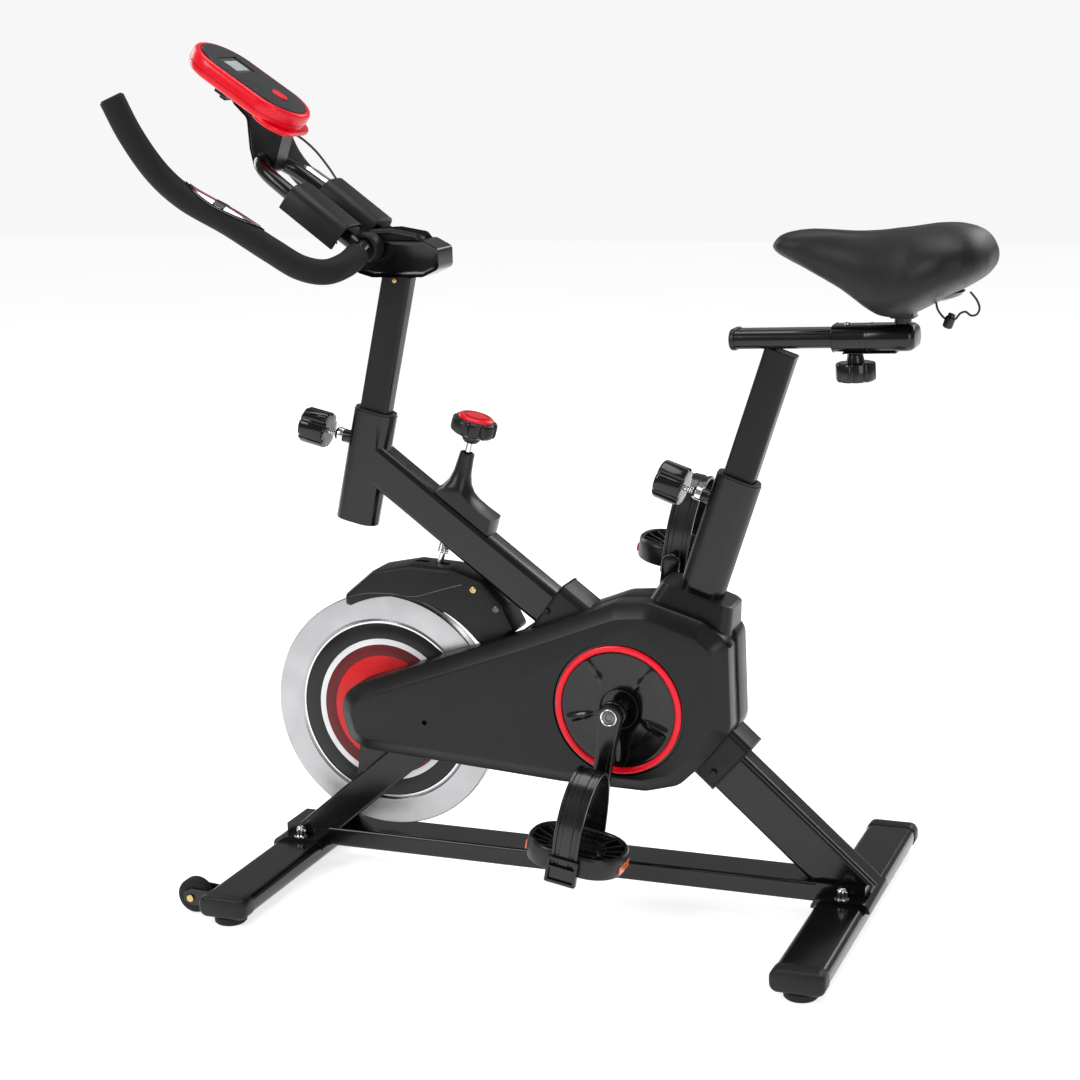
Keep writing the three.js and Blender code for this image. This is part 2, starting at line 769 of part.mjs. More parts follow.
// Outline extruded in y whose outer face is drawn in by a bevel.
function bevelled(points, face, back, inset = 0) {
  const wide = drawnIn(points, inset);
  const narrow = drawnIn(points, inset + CASE_BEVEL);
  if (face < back) {
    const edge = face + CASE_BEVEL;
    return join(plate(softPolygon(wide), edge, back, CASE_CURVE), blend(narrow, wide, face, edge));
  }
  const edge = face - CASE_BEVEL;
  return join(plate(softPolygon(wide), back, edge, CASE_CURVE), blend(wide, narrow, edge, face));
}

const slab = (x0, x1, y0, y1, z0, z1) => {
  const g = new THREE.BoxGeometry(x1 - x0, y1 - y0, z1 - z0);
  g.translate((x0 + x1) / 2, (y0 + y1) / 2, (z0 + z1) / 2);
  return solid(g);
};

// Room for each frame tube, with a little clearance all round.
function tubeRooms(extra) {
  const back = downBack(DOWN_TILT);
  const rear = downBack(REAR_TILT);
  const low = along(seatTop, upSeat, -SEAT_LENGTH - 40);
  return join(
    beam(
      roundRect(DOWN_TUBE[0] + 2 * extra, DOWN_TUBE[1] + 2 * extra, 8),
      along(V(64, 0, 306.5), back, -300),
      along(V(64, 0, 306.5), back, 30),
    ),
    beam(
      roundRect(REAR_TUBE[0] + 2 * extra, REAR_TUBE[1] + 2 * extra, 8),
      along(V(112, 0, 270.4), rear, -60),
      along(V(112, 0, 270.4), rear, 260),
    ),
    beam(oblong(OUTER_TUBE[0] + 2 * extra, OUTER_TUBE[1] + 2 * extra), low, along(seatTop, upSeat, -20)),
    forkRoom(extra),
  );
}

function forkRoom(extra) {
  const top = V(-6, 0, 368.1);
  const down = V(-Math.cos(rad(FORK_TILT)), 0, -Math.sin(rad(FORK_TILT)));
  const foot = along(top, down, 560);
  const width = 2 * (FORK_INNER + FORK_TUBE[1] + extra);
  return beam(roundRect(FORK_TUBE[0] + 2 * extra, width, 4), top, foot);
}

// Sleeve of the casing that closes round the main tube or the rear leg.
function collar(centre, dir, from, to, height, width, lift) {
  const n = V(-dir.z, 0, dir.x);
  const at = (s) => along(centre, dir, s).addScaledVector(n, lift);
  return beam(roundRect(height, width, 12), at(from), at(to));
}

function collars(extra) {
  return join(
    collar(V(64, 0, 306.5), downBack(DOWN_TILT), -128, -20, 90 + extra, 64 + extra, 0),
    collar(V(112, 0, 270.4), downBack(REAR_TILT), 30, 126, 84 + extra, 62 + extra, 8),
  );
}

const COVER_R = 88;
const RIB = polygon([[-2.5, -3.5], [2.5, -3.5], [2.5, 3.5], [-2.5, 3.5]]);
function casingLeft() {
  const outer = bevelled(CASE_OUTLINE, CASE_NEAR, CASE_SEAM - GAP);
  const inner = bevelled(sharp(CASE_OUTLINE), CASE_NEAR + CASE_WALL, CASE_SEAM + 20, CASE_WALL);
  const half = slab(-400, 400, -100, CASE_SEAM - GAP, 0, 600);
  const sleeves = collars(0).intersect(half);
  return less(
    join(outer, less(sleeves, inner)),
    inner,
    tubeRooms(1.2),
    slab(-400, -78, -33.5, 60, 0, 500),
    rod(COVER_R, crankAt(-80), crankAt(-50), 36),
    rod(3.5, V(-196, -80, 230), V(-196, -40, 230), 12),
    rod(3, V(-33, -80, 384), V(-33, -20, 384), 12),
    rod(3, V(196, -80, 196), V(196, -20, 196), 12),
  );
}

function casingRight() {
  const outer = bevelled(CASE_REAR, CASE_FAR, CASE_SEAM);
  const inner = bevelled(sharp(CASE_REAR), CASE_FAR - CASE_WALL, CASE_SEAM - 20, CASE_WALL);
  const half = slab(-400, 400, CASE_SEAM, 100, 0, 600);
  const sleeves = collars(0).intersect(half);
  return less(
    join(outer, less(sleeves, inner)),
    inner,
    tubeRooms(1.2),
    rod(20, crankAt(20), crankAt(60), 28),
  );
}

// Round cover in the near casing half, with shallow ribs and an opening for the crank.
function pulleyCover() {
  const dish = turned(
    [[26, -58], [34, -60.5], [RING_R[0] - 1, -63], [RING_R[0] - 1, -59.8], [COVER_R - 1, -59.8],
      [COVER_R - 1, -56.5], [26, -55]],
    crankAt(0),
    V(0, 1, 0),
    32,
  );
  const ribs = [0, 1, 2, 3, 4, 5].map((i) => {
    const a = rad(i * 60 + 24);
    const dir = V(Math.cos(a), 0, Math.sin(a));
    return beam(RIB, crankAt(-62).addScaledVector(dir, 44), crankAt(-62).addScaledVector(dir, 72),
      V(-Math.sin(a), 0, Math.cos(a)));
  });
  return join(dish, ...ribs);
}

function coverRing() {
  const [r0, r1] = RING_R;
  return turned(
    [[r0, -60.1], [r1, -60.1], [r1, -63], [r1 - 2, -64.5], [r0 + 2, -64.5], [r0, -63]],
    crankAt(0),
    V(0, 1, 0),
    32,
  );
}

function seatCollar() {
  const base = along(seatTop, upSeat, -196);
  const rim = along(seatTop, upSeat, -152);
  const g = new THREE.ExtrudeGeometry(roundRect(120, 78, 18), {
    depth: rim.distanceTo(base),
    bevelEnabled: false,
    curveSegments: 3,
  });
  const p = g.attributes.position;
  const height = rim.distanceTo(base);
  for (let i = 0; i < p.count; i++) {
    const k = 1 - 0.2 * (p.getZ(i) / height);
    p.setXY(i, p.getX(i) * k, p.getY(i) * k);
  }
  const x = new THREE.Vector3().crossVectors(V(0, 1, 0), upSeat).normalize();
  g.applyMatrix4(new THREE.Matrix4().makeBasis(x, V(0, 1, 0), upSeat).setPosition(base));
  return less(
    solid(g),
    plate(softPolygon(drawnIn(CASE_REAR, -0.5)), CASE_NEAR, CASE_FAR + 1, CASE_CURVE),
    tubeRooms(1.2),
    slab(-200, 300, -60, 60, 300, 360),
  );
}

// Hood over the top of the flywheel that carries the brake.
function brakeCover() {
  const outline = [
    [-322, 372, 4],
    [-322, 386, 6],
    [-279, 422, 14],
    [-225, 433, 16],
    [-170, 430, 16],
    [-126, 414, 14],
    [-96, 384, 8],
    [-80, 352, 4],
    [-112, 328, 4],
  ];
  const outer = plate(softPolygon(outline), -27, 27);
  const inner = plate(
    softPolygon([
      [-319, 372, 0],
      [-319, 385, 6],
      [-278, 419, 14],
      [-225, 430, 16],
      [-171, 427, 16],
      [-128, 411, 14],
      [-99, 383, 8],
      [-84, 352, 4],
      [-112, 310, 0],
    ]),
    -24,
    24,
  );
  const coverArch = V(-245, 0, 240); // centre of the cover's arched lower edge
  return less(
    outer,
    inner,
    rod(WHEEL_R + 4, wheelAt(-13), wheelAt(13), 48),
    rod(148, coverArch.clone().setY(-60), coverArch.clone().setY(60), 48),
    rod(9, brakeRod(-200), brakeRod(-120), 16),
    plate(softPolygon(CASE_OUTLINE), -100, CASE_SEAM + 100),
    collars(1.5),
    forkRoom(1),
    tubeRooms(1.2),
  );
}

// ---------------------------------------------------------------- brake and knobs
const rodDir = V(Math.sin(rad(ROD_TILT)), 0, Math.cos(rad(ROD_TILT)));
function brakeRodBody() {
  return rod(4.5, brakeRod(-176), brakeRod(52), 12);
}

function brakePad() {
  const block = beam(roundRect(46, 15, 3), brakeRod(-213), brakeRod(-188), V(0, 1, 0));
  const holder = beam(roundRect(36, 17, 3), brakeRod(-192), brakeRod(-176.3), V(0, 1, 0));
  return less(join(block, holder), rod(WHEEL_R + 5, wheelAt(-30), wheelAt(30), 80));
}

function boot() {
  const flare = turned(
    [[9, 0], [9.6, -6], [11, -22], [15, -38], [24, -50], [40, -60], [60, -66],
      [60, -90], [6.8, -90], [6.8, 0]],
    brakeRod(0),
    rodDir,
    20,
  );
  const belowTube = beam(
    roundRect(DOWN_TUBE[0] + 2 * GAP, DOWN_TUBE[1] + 2 * GAP, 8),
    V(-283, 0, 568),
    V(64, 0, 306.5),
  );
  const under = beam(roundRect(200, 140, 1), V(-337.5, 0, 496.1), V(9.5, 0, 234.6));
  const sides = slab(-400, 100, -18, 18, 300, 700);
  return less(flare.intersect(sides), belowTube, under);
}

// Round grip with finger lobes, turned profile plus grooves cut round the rim.
function lobedKnob(origin, axis, radius, thick, lobes, stem, groove = 5) {
  const body = turned(
    [[0, 0], [radius, 0], [radius, thick - 4], [radius - 4, thick], [0, thick]],
    origin,
    axis,
    lobes * 4,
  );
  const side = Math.abs(axis.y) > 0.9 ? V(1, 0, 0) : V(0, 1, 0);
  const other = new THREE.Vector3().crossVectors(axis, side).normalize();
  const grooves = Array.from({ length: lobes }, (_, i) => {
    const a = (i / lobes) * Math.PI * 2;
    const out = side.clone().multiplyScalar(Math.cos(a)).addScaledVector(other, Math.sin(a));
    const at = origin.clone().addScaledVector(out, radius + groove * 0.45);
    return beam(circle(groove), along(at, axis, -5), along(at, axis, thick + 5), side, 2);
  });
  return join(less(body, ...grooves), ...stem);
}

function resistanceKnob() {
  const base = brakeRod(30);
  const hub = rod(12, brakeRod(20), brakeRod(31), 12);
  const dome = turned(
    [[0, 0], [23, 0], [22, 3], [16, 5], [0, 6]],
    brakeRod(51),
    rodDir,
    16,
  );
  const hole = rod(4.9, brakeRod(0), brakeRod(52.3), 12);
  return less(lobedKnob(base, rodDir, 30, 22, 8, [hub, dome]), hole);
}

function clampKnob(pointAt, radius) {
  const axis = pointAt(1).sub(pointAt(0)).normalize();
  const shank = beam(circle(4), pointAt(INNER_POST[0] / 2 + 0.6), pointAt(64), V(0, 1, 0), 4);
  const hub = beam(circle(10), pointAt(38.5), pointAt(50), V(0, 1, 0), 5);
  return lobedKnob(pointAt(62), axis, radius, 36, 6, [shank, hub], 4);
}

// ---------------------------------------------------------------- handlebar group
const BAR_AT = V(-262, 0, 848);
const ARM = [
  V(-262, -26, 848),
  V(-262, -46, 847),
  V(-266, -92, 831),
  V(-280, -122, 825),
  V(-303, -141, 832),
  V(-337, -152, 854),
  V(-388, -160, 887),
  V(-445, -169, 920),
  V(-476, -177, 950),
  V(-503, -190, 997),
  V(-521, -201, 1044),
];
const mirrored = (points) => points.map((p) => V(p.x, -p.y, p.z));
const wholeBar = () => [...ARM].reverse().concat(BAR_AT.clone(), mirrored(ARM));
const barCurve = new THREE.CatmullRomCurve3(wholeBar(), false, "centripetal");

// Part of the bar's own path, between two fractions of its length.
function barStretch(from, to, pieces) {
  return Array.from({ length: pieces + 1 }, (_, i) =>
    barCurve.getPointAt(from + ((to - from) * i) / pieces),
  );
}

const BAR_STEPS = 28;
const barTube = (r) => pipe(barStretch(0.012, 0.988, BAR_STEPS), r, 10, BAR_STEPS);
const LOOP_HALF = [
  [-266, 44, 846],
  [-290, 44, 863],
  [-330, 44, 892],
  [-372, 43, 922],
  [-401, 36, 943],
  [-417, 16, 955],
];
const loopPath = [
  ...LOOP_HALF.map(([x, y, z]) => V(x, -y, z)),
  ...[...LOOP_HALF].reverse().map(([x, y, z]) => V(x, y, z)),
];
const loopTube = (r) => pipe(loopPath, r, 8, 18);

function handlebar() {
  return join(barTube(TUBE_R), loopTube(10));
}

// Foam grips stop where the armrest loop meets the bar.
const GRIP_END = 0.434;
function grip(side) {
  const [from, to] = side < 0 ? [0, GRIP_END] : [1 - GRIP_END, 1];
  return less(pipe(barStretch(from, to, 12), BAR_R, 12, 12), barTube(TUBE_R + 0.5));
}

function pulsePlate(side) {
  const [from, to] = side < 0 ? [0.15, 0.262] : [0.738, 0.85];
  const sleeve = pipe(barStretch(from, to, 6), BAR_R + 3.2, 14, 6);
  const room = pipe(barStretch(from - 0.012, to + 0.012, 7), BAR_R + 1.5, 14, 7);
  const mid = barCurve.getPointAt((from + to) / 2);
  const tangent = barCurve.getTangentAt((from + to) / 2);
  const inward = V(0, -side, 0);
  const keepSide = V(0, 0, 1).addScaledVector(inward, 0.35).normalize();
  const across = new THREE.Vector3().crossVectors(tangent, keepSide).normalize();
  const lift = new THREE.Vector3().crossVectors(across, tangent).normalize();
  const box = beam(
    roundRect(60, 160, 1),
    mid.clone().addScaledVector(lift, 4),
    mid.clone().addScaledVector(lift, 60),
    tangent,
  );
  return less(sleeve, room).intersect(box);
}

// Post of rectangular tube, open at its lower end and closed at its upper one.
function hollowPost(low, high, up) {
  const wall = 2;
  const bore = roundRect(INNER_POST[0] - 2 * wall, INNER_POST[1] - 2 * wall, 4);
  return less(
    beam(roundRect(...INNER_POST, 6), low, high),
    beam(bore, along(low, up, -5), along(high, up, -12), undefined, 1),
  );
}

function handlebarPost() {
  const low = along(headTop, upPost, -105);
  const high = along(headTop, upPost, POST_ABOVE);
  const post = hollowPost(low, high, upPost);
  const stem = plate(
    softPolygon([
      [-276, 819, 6],
      [-262, 815, 6],
      [-192, 818, 8],
      [-177, 826, 8],
      [-177, 840, 8],
      [-190, 849, 8],
      [-276, 849, 3],
    ]),
    -23,
    23,
  );
  return less(join(post, stem), rod(TUBE_R + 0.6, BAR_AT.clone().setY(-60), BAR_AT.clone().setY(60), 24));
}

// Plastic cover over the bar clamp, with a tongue that lies along the stem.
function clampCover() {
  const tongue = plate(
    softPolygon([
      [-282, 849.5, 2],
      [-282, 858, 6],
      [-268, 868, 8],
      [-236, 870, 10],
      [-198, 863, 6],
      [-188, 849.5, 2],
    ]),
    -21,
    21,
  );
  const bandAt = (y) => BAR_AT.clone().setY(y);
  const band = rod(20, bandAt(-34), bandAt(34), 24);
  const frontHalf = slab(-300, -262, -40, 40, 800, 900);
  const upper = slab(-300, -230, -40, 40, 849.5, 900);
  return less(
    join(tongue, band.intersect(join(frontHalf, upper))),
    rod(TUBE_R + 0.6, bandAt(-60), bandAt(60), 24),
    plate(polygon([[-276.3, 810], [-150, 810], [-150, 849.4], [-276.3, 849.4]]), -23.4, 23.4),
    loopTube(10.6),
    armrestRoom(-1),
    armrestRoom(1),
  );
}

const ARMREST_Y = 46;
const ARMREST_ENDS = [[-355, 913], [-284, 860]]; // x, z of its middle line
const ARMREST_LIFT = V(0.598, 0, 0.801);
function armrestRoom(side) {
  const [from, to] = ARMREST_ENDS.map(([x, z]) =>
    V(x, side * ARMREST_Y, z).addScaledVector(ARMREST_LIFT, 3),
  );
  const clear = to.clone().sub(from).setLength(GAP);
  return beam(roundRect(38, 2 * 31 + 1, 1), from, to.add(clear), V(0, 1, 0), 1);
}

// Armrest shell, an upside-down channel clipped over one tube of the loop.
function armrest(side) {
  const y = side * ARMREST_Y;
  const [from, to] = ARMREST_ENDS.map(([x, z]) => V(x, y, z));
  const lift = ARMREST_LIFT;
  const section = new THREE.Shape();
  section.moveTo(-31, -15);
  section.lineTo(-28, -15);
  section.bezierCurveTo(-28, 6, -20, 17, 0, 17);
  section.bezierCurveTo(20, 17, 28, 6, 28, -15);
  section.lineTo(31, -15);
  section.bezierCurveTo(31, 10, 22, 21, 0, 21);
  section.bezierCurveTo(-22, 21, -31, 10, -31, -15);
  const shell = beam(section, from, to, lift, 5);
  const web = beam(roundRect(10, 12, 1), along(from, lift, 14), along(to, lift, 14), lift);
  const [near, far] = side < 0 ? [0.36, 0.5] : [0.5, 0.64];
  return less(join(shell, web), loopTube(10.6), pipe(barStretch(near, far, 6), BAR_R + 0.8, 14, 6));
}

const CONSOLE_AT = V(-437, 0, 1050);
const CONSOLE_TILT = 34;
const faceLong = V(Math.cos(rad(CONSOLE_TILT)), 0, -Math.sin(rad(CONSOLE_TILT)));
const faceUp = V(Math.sin(rad(CONSOLE_TILT)), 0, Math.cos(rad(CONSOLE_TILT)));
const onConsole = (u, h) => along(along(CONSOLE_AT, faceLong, u), faceUp, h);
const acrossConsole = V(0, 1, 0);
// Extrudes an outline (along, across) between two heights over the console's centre.
function consoleBlock(shape, u, h0, h1) {
  return beam(shape, onConsole(u, h0), onConsole(u, h1), acrossConsole, 3);
}

function consoleBody() {
  const body = consoleBlock(roundRect(176, 106, 52), 0, -14, 12);
  const lip = consoleBlock(roundRect(60, 96, 28), 60, -18, -11);
  const recess = consoleBlock(roundRect(160, 88, 43.5), 0, 9.4, 20);
  const well = consoleBlock(roundRect(25, 17, 8), 42, 4, 20);
  return less(join(body, lip), recess, well);
}

function consolePanel() {
  const panel = consoleBlock(roundRect(159.4, 87.4, 43.2), 0, 9.7, 13.5);
  const window = consoleBlock(roundRect(36, 46, 2), -30, 11.2, 20);
  const buttonHole = consoleBlock(roundRect(24, 16, 7.9), 42, 0, 20);
  return less(panel, window, buttonHole);
}

function consoleButton() {
  return consoleBlock(roundRect(23, 15, 7.4), 42, 6.5, 16);
}

function consoleNeck() {
  const block = plate(
    softPolygon([
      [-478, 1052, 3],
      [-472, 1040, 3],
      [-446, 1026, 4],
      [-440, 966, 6],
      [-425, 939, 6],
      [-403, 947, 6],
      [-394, 978, 6],
      [-386, 998, 3],
    ]),
    -17,
    17,
  );
  const underside = consoleBlock(roundRect(260, 200, 4), 0, -14.3, 80);
  const lip = consoleBlock(roundRect(62, 98, 28), 60, -18.3, -10);
  return less(block, underside, lip, loopTube(10.6));
}

// Lead from the console to the far pulse plate, clipped at both ends.
function sensorLead() {
  return pipe(
    [
      V(-388, 22, 988),
      V(-384, 34, 982),
      V(-378, 60, 965),
      V(-375, 90, 942),
      V(-377, 118, 923),
      V(-381, 138, 912),
      V(-386, 153, 907.6),
    ],
    1.6,
    8,
    18,
  );
}

// ---------------------------------------------------------------- saddle group
const RAIL_TILT = 2;
const railDir = V(Math.cos(rad(RAIL_TILT)), 0, Math.sin(rad(RAIL_TILT)));
const railUp = V(-Math.sin(rad(RAIL_TILT)), 0, Math.cos(rad(RAIL_TILT)));
const RAIL_AT = V(276, 0, 740);
const RAIL_SECTION = [25, 46];
const onRail = (s, h = 0, y = 0) => along(along(RAIL_AT, railDir, s), railUp, h).setY(y);

function seatPost() {
  const low = along(seatTop, upSeat, -105);
  const high = along(seatTop, upSeat, SEAT_POST_ABOVE);
  const post = hollowPost(low, high, upSeat);
  const railShape = oblong(...[...RAIL_SECTION].reverse());
  const rail = beam(railShape, onRail(-64), onRail(120), railUp.clone().negate(), 3);
  const capEnd = beam(oblong(RAIL_SECTION[1] + 1.5, RAIL_SECTION[0] + 1.5), onRail(-67), onRail(-60),
    railUp.clone().negate(), 3);
  return join(post, rail, capEnd);
}

function seatCarriage() {
  const grow = (d) => oblong(RAIL_SECTION[1] + 2 * d, RAIL_SECTION[0] + 2 * d);
  const flip = railUp.clone().negate();
  const sleeve = beam(grow(3.2), onRail(60), onRail(160), flip, 2);
  const step = beam(grow(4.4), onRail(60), onRail(104), flip, 2);
  const pillar = beam(circle(11), onRail(142, 10), V(419, 0, 777.5), V(0, 1, 0), 5);
  const clampHead = beam(roundRect(30, 34, 6), V(419, 0, 768), V(419, 0, 777.5), V(0, 1, 0));
  const boss = beam(circle(9), onRail(84, -26), onRail(84, -12), V(0, 1, 0), 4);
  const bore = beam(grow(SLIDE_GAP), onRail(40), onRail(156), flip, 2);
  const hole = beam(circle(4.5), onRail(84, -40), onRail(84, -5), V(0, 1, 0), 4);
  return less(join(sleeve, step, pillar, clampHead, boss), bore, hole);
}

function sliderKnob() {
  const axis = railUp.clone().negate();
  const shank = beam(circle(4), onRail(84, -13.2), onRail(84, -34), V(0, 1, 0), 4);
  return lobedKnob(onRail(84, -30), axis, 24, 23, 6, [shank], 4);
}

// Padded saddle: the plan outline crossed with the side outline.
function saddle() {
  const plan = new THREE.Shape();
  plan.moveTo(257, 0);
  plan.bezierCurveTo(257, -22, 274, -30, 310, -34);
  plan.bezierCurveTo(372, -42, 404, -92, 456, -98);
  plan.bezierCurveTo(512, -102, 528, -60, 528, 0);
  plan.bezierCurveTo(528, 60, 512, 102, 456, 98);
  plan.bezierCurveTo(404, 92, 372, 42, 310, 34);
  plan.bezierCurveTo(274, 30, 257, 22, 257, 0);
  const g = new THREE.ExtrudeGeometry(plan, { depth: 140, bevelEnabled: false, curveSegments: 6 });
  g.translate(0, 0, 760);
  const side = softPolygon([
    [257, 851, 10],
    [268, 868, 10],
    [300, 873, 20],
    [360, 870, 40],
    [424, 875, 40],
    [484, 883, 30],
    [516, 874, 20],
    [528, 846, 12],
    [524, 822, 12],
    [478, 800, 20],
    [428, 781, 10],
    [396, 780, 10],
    [352, 802, 20],
    [300, 834, 20],
    [262, 842, 6],
  ]);
  return solid(g).intersect(plate(side, -120, 120));
}

// Drawstring of the saddle's cover, hanging in two loops under the tail.
const DRAWSTRING = [
  V(461, -22, 789),
  V(464, -24, 780),
  V(474, -26, 770),
  V(484, -27, 768),
  V(488, -24, 774),
  V(490, -22, 784),
  V(496, -24, 778),
  V(506, -28, 774),
  V(513, -30, 780),
  V(510, -30, 792),
  V(502, -30, 803),
];
const drawstring = () => pipe(DRAWSTRING, 1.3, 8, 28);

function cordLock() {
  const barrel = turned(
    [[0, -9], [5, -9], [6, -7], [6, 4], [4.4, 5], [4.4, 9], [0, 9]],
    V(478, -26.5, 768.5),
    V(0.35, 0, 0.94),
    8,
  );
  const cordRoom = pipe(DRAWSTRING.slice(1, 5), 1.9, 8, 20);
  return less(barrel, cordRoom);
}

// ---------------------------------------------------------------- assembly
add("main_frame", mainFrame(), GLOSS_BLACK());
add("seat_tube", seatTube(), GLOSS_BLACK());
add("rear_leg", rearLeg(), GLOSS_BLACK());
add("base_tube", baseTube(), GLOSS_BLACK());
add("fork", fork(), GLOSS_BLACK());
add("front_stabiliser", stabiliser(FRONT_X, true), GLOSS_BLACK());
add("rear_stabiliser", stabiliser(REAR_X, false), GLOSS_BLACK());
const sideName = { "-1": "left", 1: "right" };
for (const side of [-1, 1]) {
  add("front_cap_" + sideName[side], endCap(FRONT_X, side), MATT_PLASTIC());
  add("rear_cap_" + sideName[side], endCap(REAR_X, side), MATT_PLASTIC());
  add("transport_wheel_" + sideName[side], transportWheel(side), RUBBER());
  add("crank_" + sideName[side], crankArm(side), SATIN_BLACK());
  add("pedal_" + sideName[side], pedal(side), MATT_PLASTIC());
  add("pedal_strap_" + sideName[side], pedalStrap(side), RUBBER());
  add("grip_" + sideName[side], grip(side), FOAM());
  add("pulse_plate_" + sideName[side], pulsePlate(side), CHROME());
  add("armrest_" + sideName[side], armrest(side), MATT_PLASTIC());
}
add("head_sleeve", postSleeve(headTop, upPost, frontKnob), MATT_PLASTIC());
add("seat_sleeve", postSleeve(seatTop, upSeat, rearKnob), MATT_PLASTIC());
add("flywheel", flywheel(), CHROME());
add("flywheel_disc", flywheelDisc(), RED());
add("flywheel_axle", flywheelAxle(), STEEL());
add("flywheel_pulley", flywheelPulley(), STEEL());
add("drive_pulley", drivePulley(), STEEL());
add("drive_belt", belt(), RUBBER());
add("casing_left", casingLeft(), MATT_PLASTIC());
add("casing_right", casingRight(), MATT_PLASTIC());
add("pulley_cover", pulleyCover(), GLOSS_BLACK());
add("cover_ring", coverRing(), RED());
add("seat_collar", seatCollar(), MATT_PLASTIC());
add("brake_cover", brakeCover(), MATT_PLASTIC());
add("brake_rod", brakeRodBody(), CHROME());
add("brake_pad", brakePad(), RUBBER());
add("rod_boot", boot(), MATT_PLASTIC());
add("resistance_knob", resistanceKnob(), MATT_PLASTIC());
add("front_clamp_knob", clampKnob(frontKnob, 24), GLOSS_BLACK());
add("rear_clamp_knob", clampKnob(rearKnob, 25), GLOSS_BLACK());
add("handlebar_post", handlebarPost(), SATIN_BLACK());
add("handlebar", handlebar(), GLOSS_BLACK());
add("clamp_cover", clampCover(), MATT_PLASTIC());
add("console_body", consoleBody(), RED());
add("console_panel", consolePanel(), GREY());
add("console_button", consoleButton(), RED());
add("console_neck", consoleNeck(), MATT_PLASTIC());
add("sensor_lead", sensorLead(), RUBBER());
add("seat_post", seatPost(), GLOSS_BLACK());
add("seat_carriage", seatCarriage(), GLOSS_BLACK());
add("slider_knob", sliderKnob(), MATT_PLASTIC());
add("saddle", saddle(), LEATHER());
add("drawstring", drawstring(), RUBBER());
add("cord_lock", cordLock(), MATT_PLASTIC());

export default root;
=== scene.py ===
import math

import bmesh
import bpy
from mathutils import Matrix, Vector, noise


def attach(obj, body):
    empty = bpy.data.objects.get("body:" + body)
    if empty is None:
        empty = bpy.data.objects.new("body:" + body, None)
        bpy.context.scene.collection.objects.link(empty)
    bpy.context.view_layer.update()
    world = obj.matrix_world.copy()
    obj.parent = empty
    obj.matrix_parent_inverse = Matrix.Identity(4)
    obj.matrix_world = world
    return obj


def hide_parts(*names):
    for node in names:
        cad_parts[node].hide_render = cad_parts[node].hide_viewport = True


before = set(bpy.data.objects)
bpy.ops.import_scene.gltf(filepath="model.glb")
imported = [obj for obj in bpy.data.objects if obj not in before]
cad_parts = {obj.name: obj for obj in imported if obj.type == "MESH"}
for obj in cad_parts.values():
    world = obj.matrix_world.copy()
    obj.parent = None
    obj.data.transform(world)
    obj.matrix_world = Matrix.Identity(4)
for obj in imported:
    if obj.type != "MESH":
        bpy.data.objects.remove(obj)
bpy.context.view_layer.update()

X_AXIS, Y_AXIS, Z_AXIS = Vector((1, 0, 0)), Vector((0, 1, 0)), Vector((0, 0, 1))


def leaning(degrees):
    """Direction in the bike's middle plane, turned from upright towards the rear."""
    a = math.radians(degrees)
    return Vector((math.sin(a), 0, math.cos(a)))


# Lengths are in millimetres on the design's own axes until a mesh is made, then in metres.
MIDDLE_X = 4.2
CRANK_LEAN = math.radians(9)
PEDAL_TILT = math.radians(10)
CRANK_LENGTH = 160
PEDAL_Y = 152
ON_AXIS = 0.001  # radius of a turned profile that starts solid
UP_POST, UP_SEAT, UP_ROD, RAIL_UP, FACE_UP = (leaning(d) for d in (12.9, 18.7, 16.5, -2, 34))
RAIL, FACE_LONG = Y_AXIS.cross(RAIL_UP), Y_AXIS.cross(FACE_UP)
DOWN_TUBE, REAR_LEG = Y_AXIS.cross(leaning(37)), Y_AXIS.cross(leaning(41.8))
HEAD_TOP = Vector((-276, 0, 630))
SEAT_TOP = Vector((216, 0, 563))
ROD_TOP = Vector((-149.6, 0, 576))
RAIL_AT = Vector((276, 0, 740))
WHEEL = Vector((-276, 0, 225))
CRANK = Vector((73, 0, 271))
CONSOLE_AT = Vector((-437, 0, 1050))
CASE_NEAR, CASE_FAR, CASE_SEAM = -62, 40, -12
SIDES = ((-1, "near", "left"), (1, "far", "right"))


def metres(p):
    return Vector(((p[0] + MIDDLE_X) * 0.001, p[1] * 0.001, p[2] * 0.001))


def add_object(name, data):
    obj = bpy.data.objects.new(name, data)
    bpy.context.scene.collection.objects.link(obj)
    return obj


def feed(tree, node, **inputs):
    """Sets a node's inputs, or links them where the value is another node's socket."""
    for key, value in inputs.items():
        socket = node.inputs[key.replace("_", " ")]
        if isinstance(value, bpy.types.NodeSocket):
            tree.links.new(value, socket)
        else:
            socket.default_value = value
    return node


def add_node(tree, kind, **inputs):
    return feed(tree, tree.nodes.new(kind), **inputs)


# ------------------------------------------------------------- camera and light
def add_camera():
    azimuth, elevation, roll = (math.radians(d) for d in (21.35, 12.81, -1.5))
    back = Vector((math.sin(azimuth) * math.cos(elevation), -math.cos(azimuth) * math.cos(elevation),
                   math.sin(elevation)))
    level = Vector((math.cos(azimuth), math.sin(azimuth), 0))
    up = back.cross(level)
    right = level * math.cos(roll) + up * math.sin(roll)
    above = up * math.cos(roll) - level * math.sin(roll)
    turn = Matrix((right, above, back)).transposed().to_4x4()
    data = bpy.data.cameras.new("camera")
    data.lens = 73.33
    data.sensor_width = 36
    camera = add_object("camera", data)
    camera.matrix_world = Matrix.Translation((0.9602, -2.5754, 1.0992)) @ turn
    bpy.context.scene.camera = camera


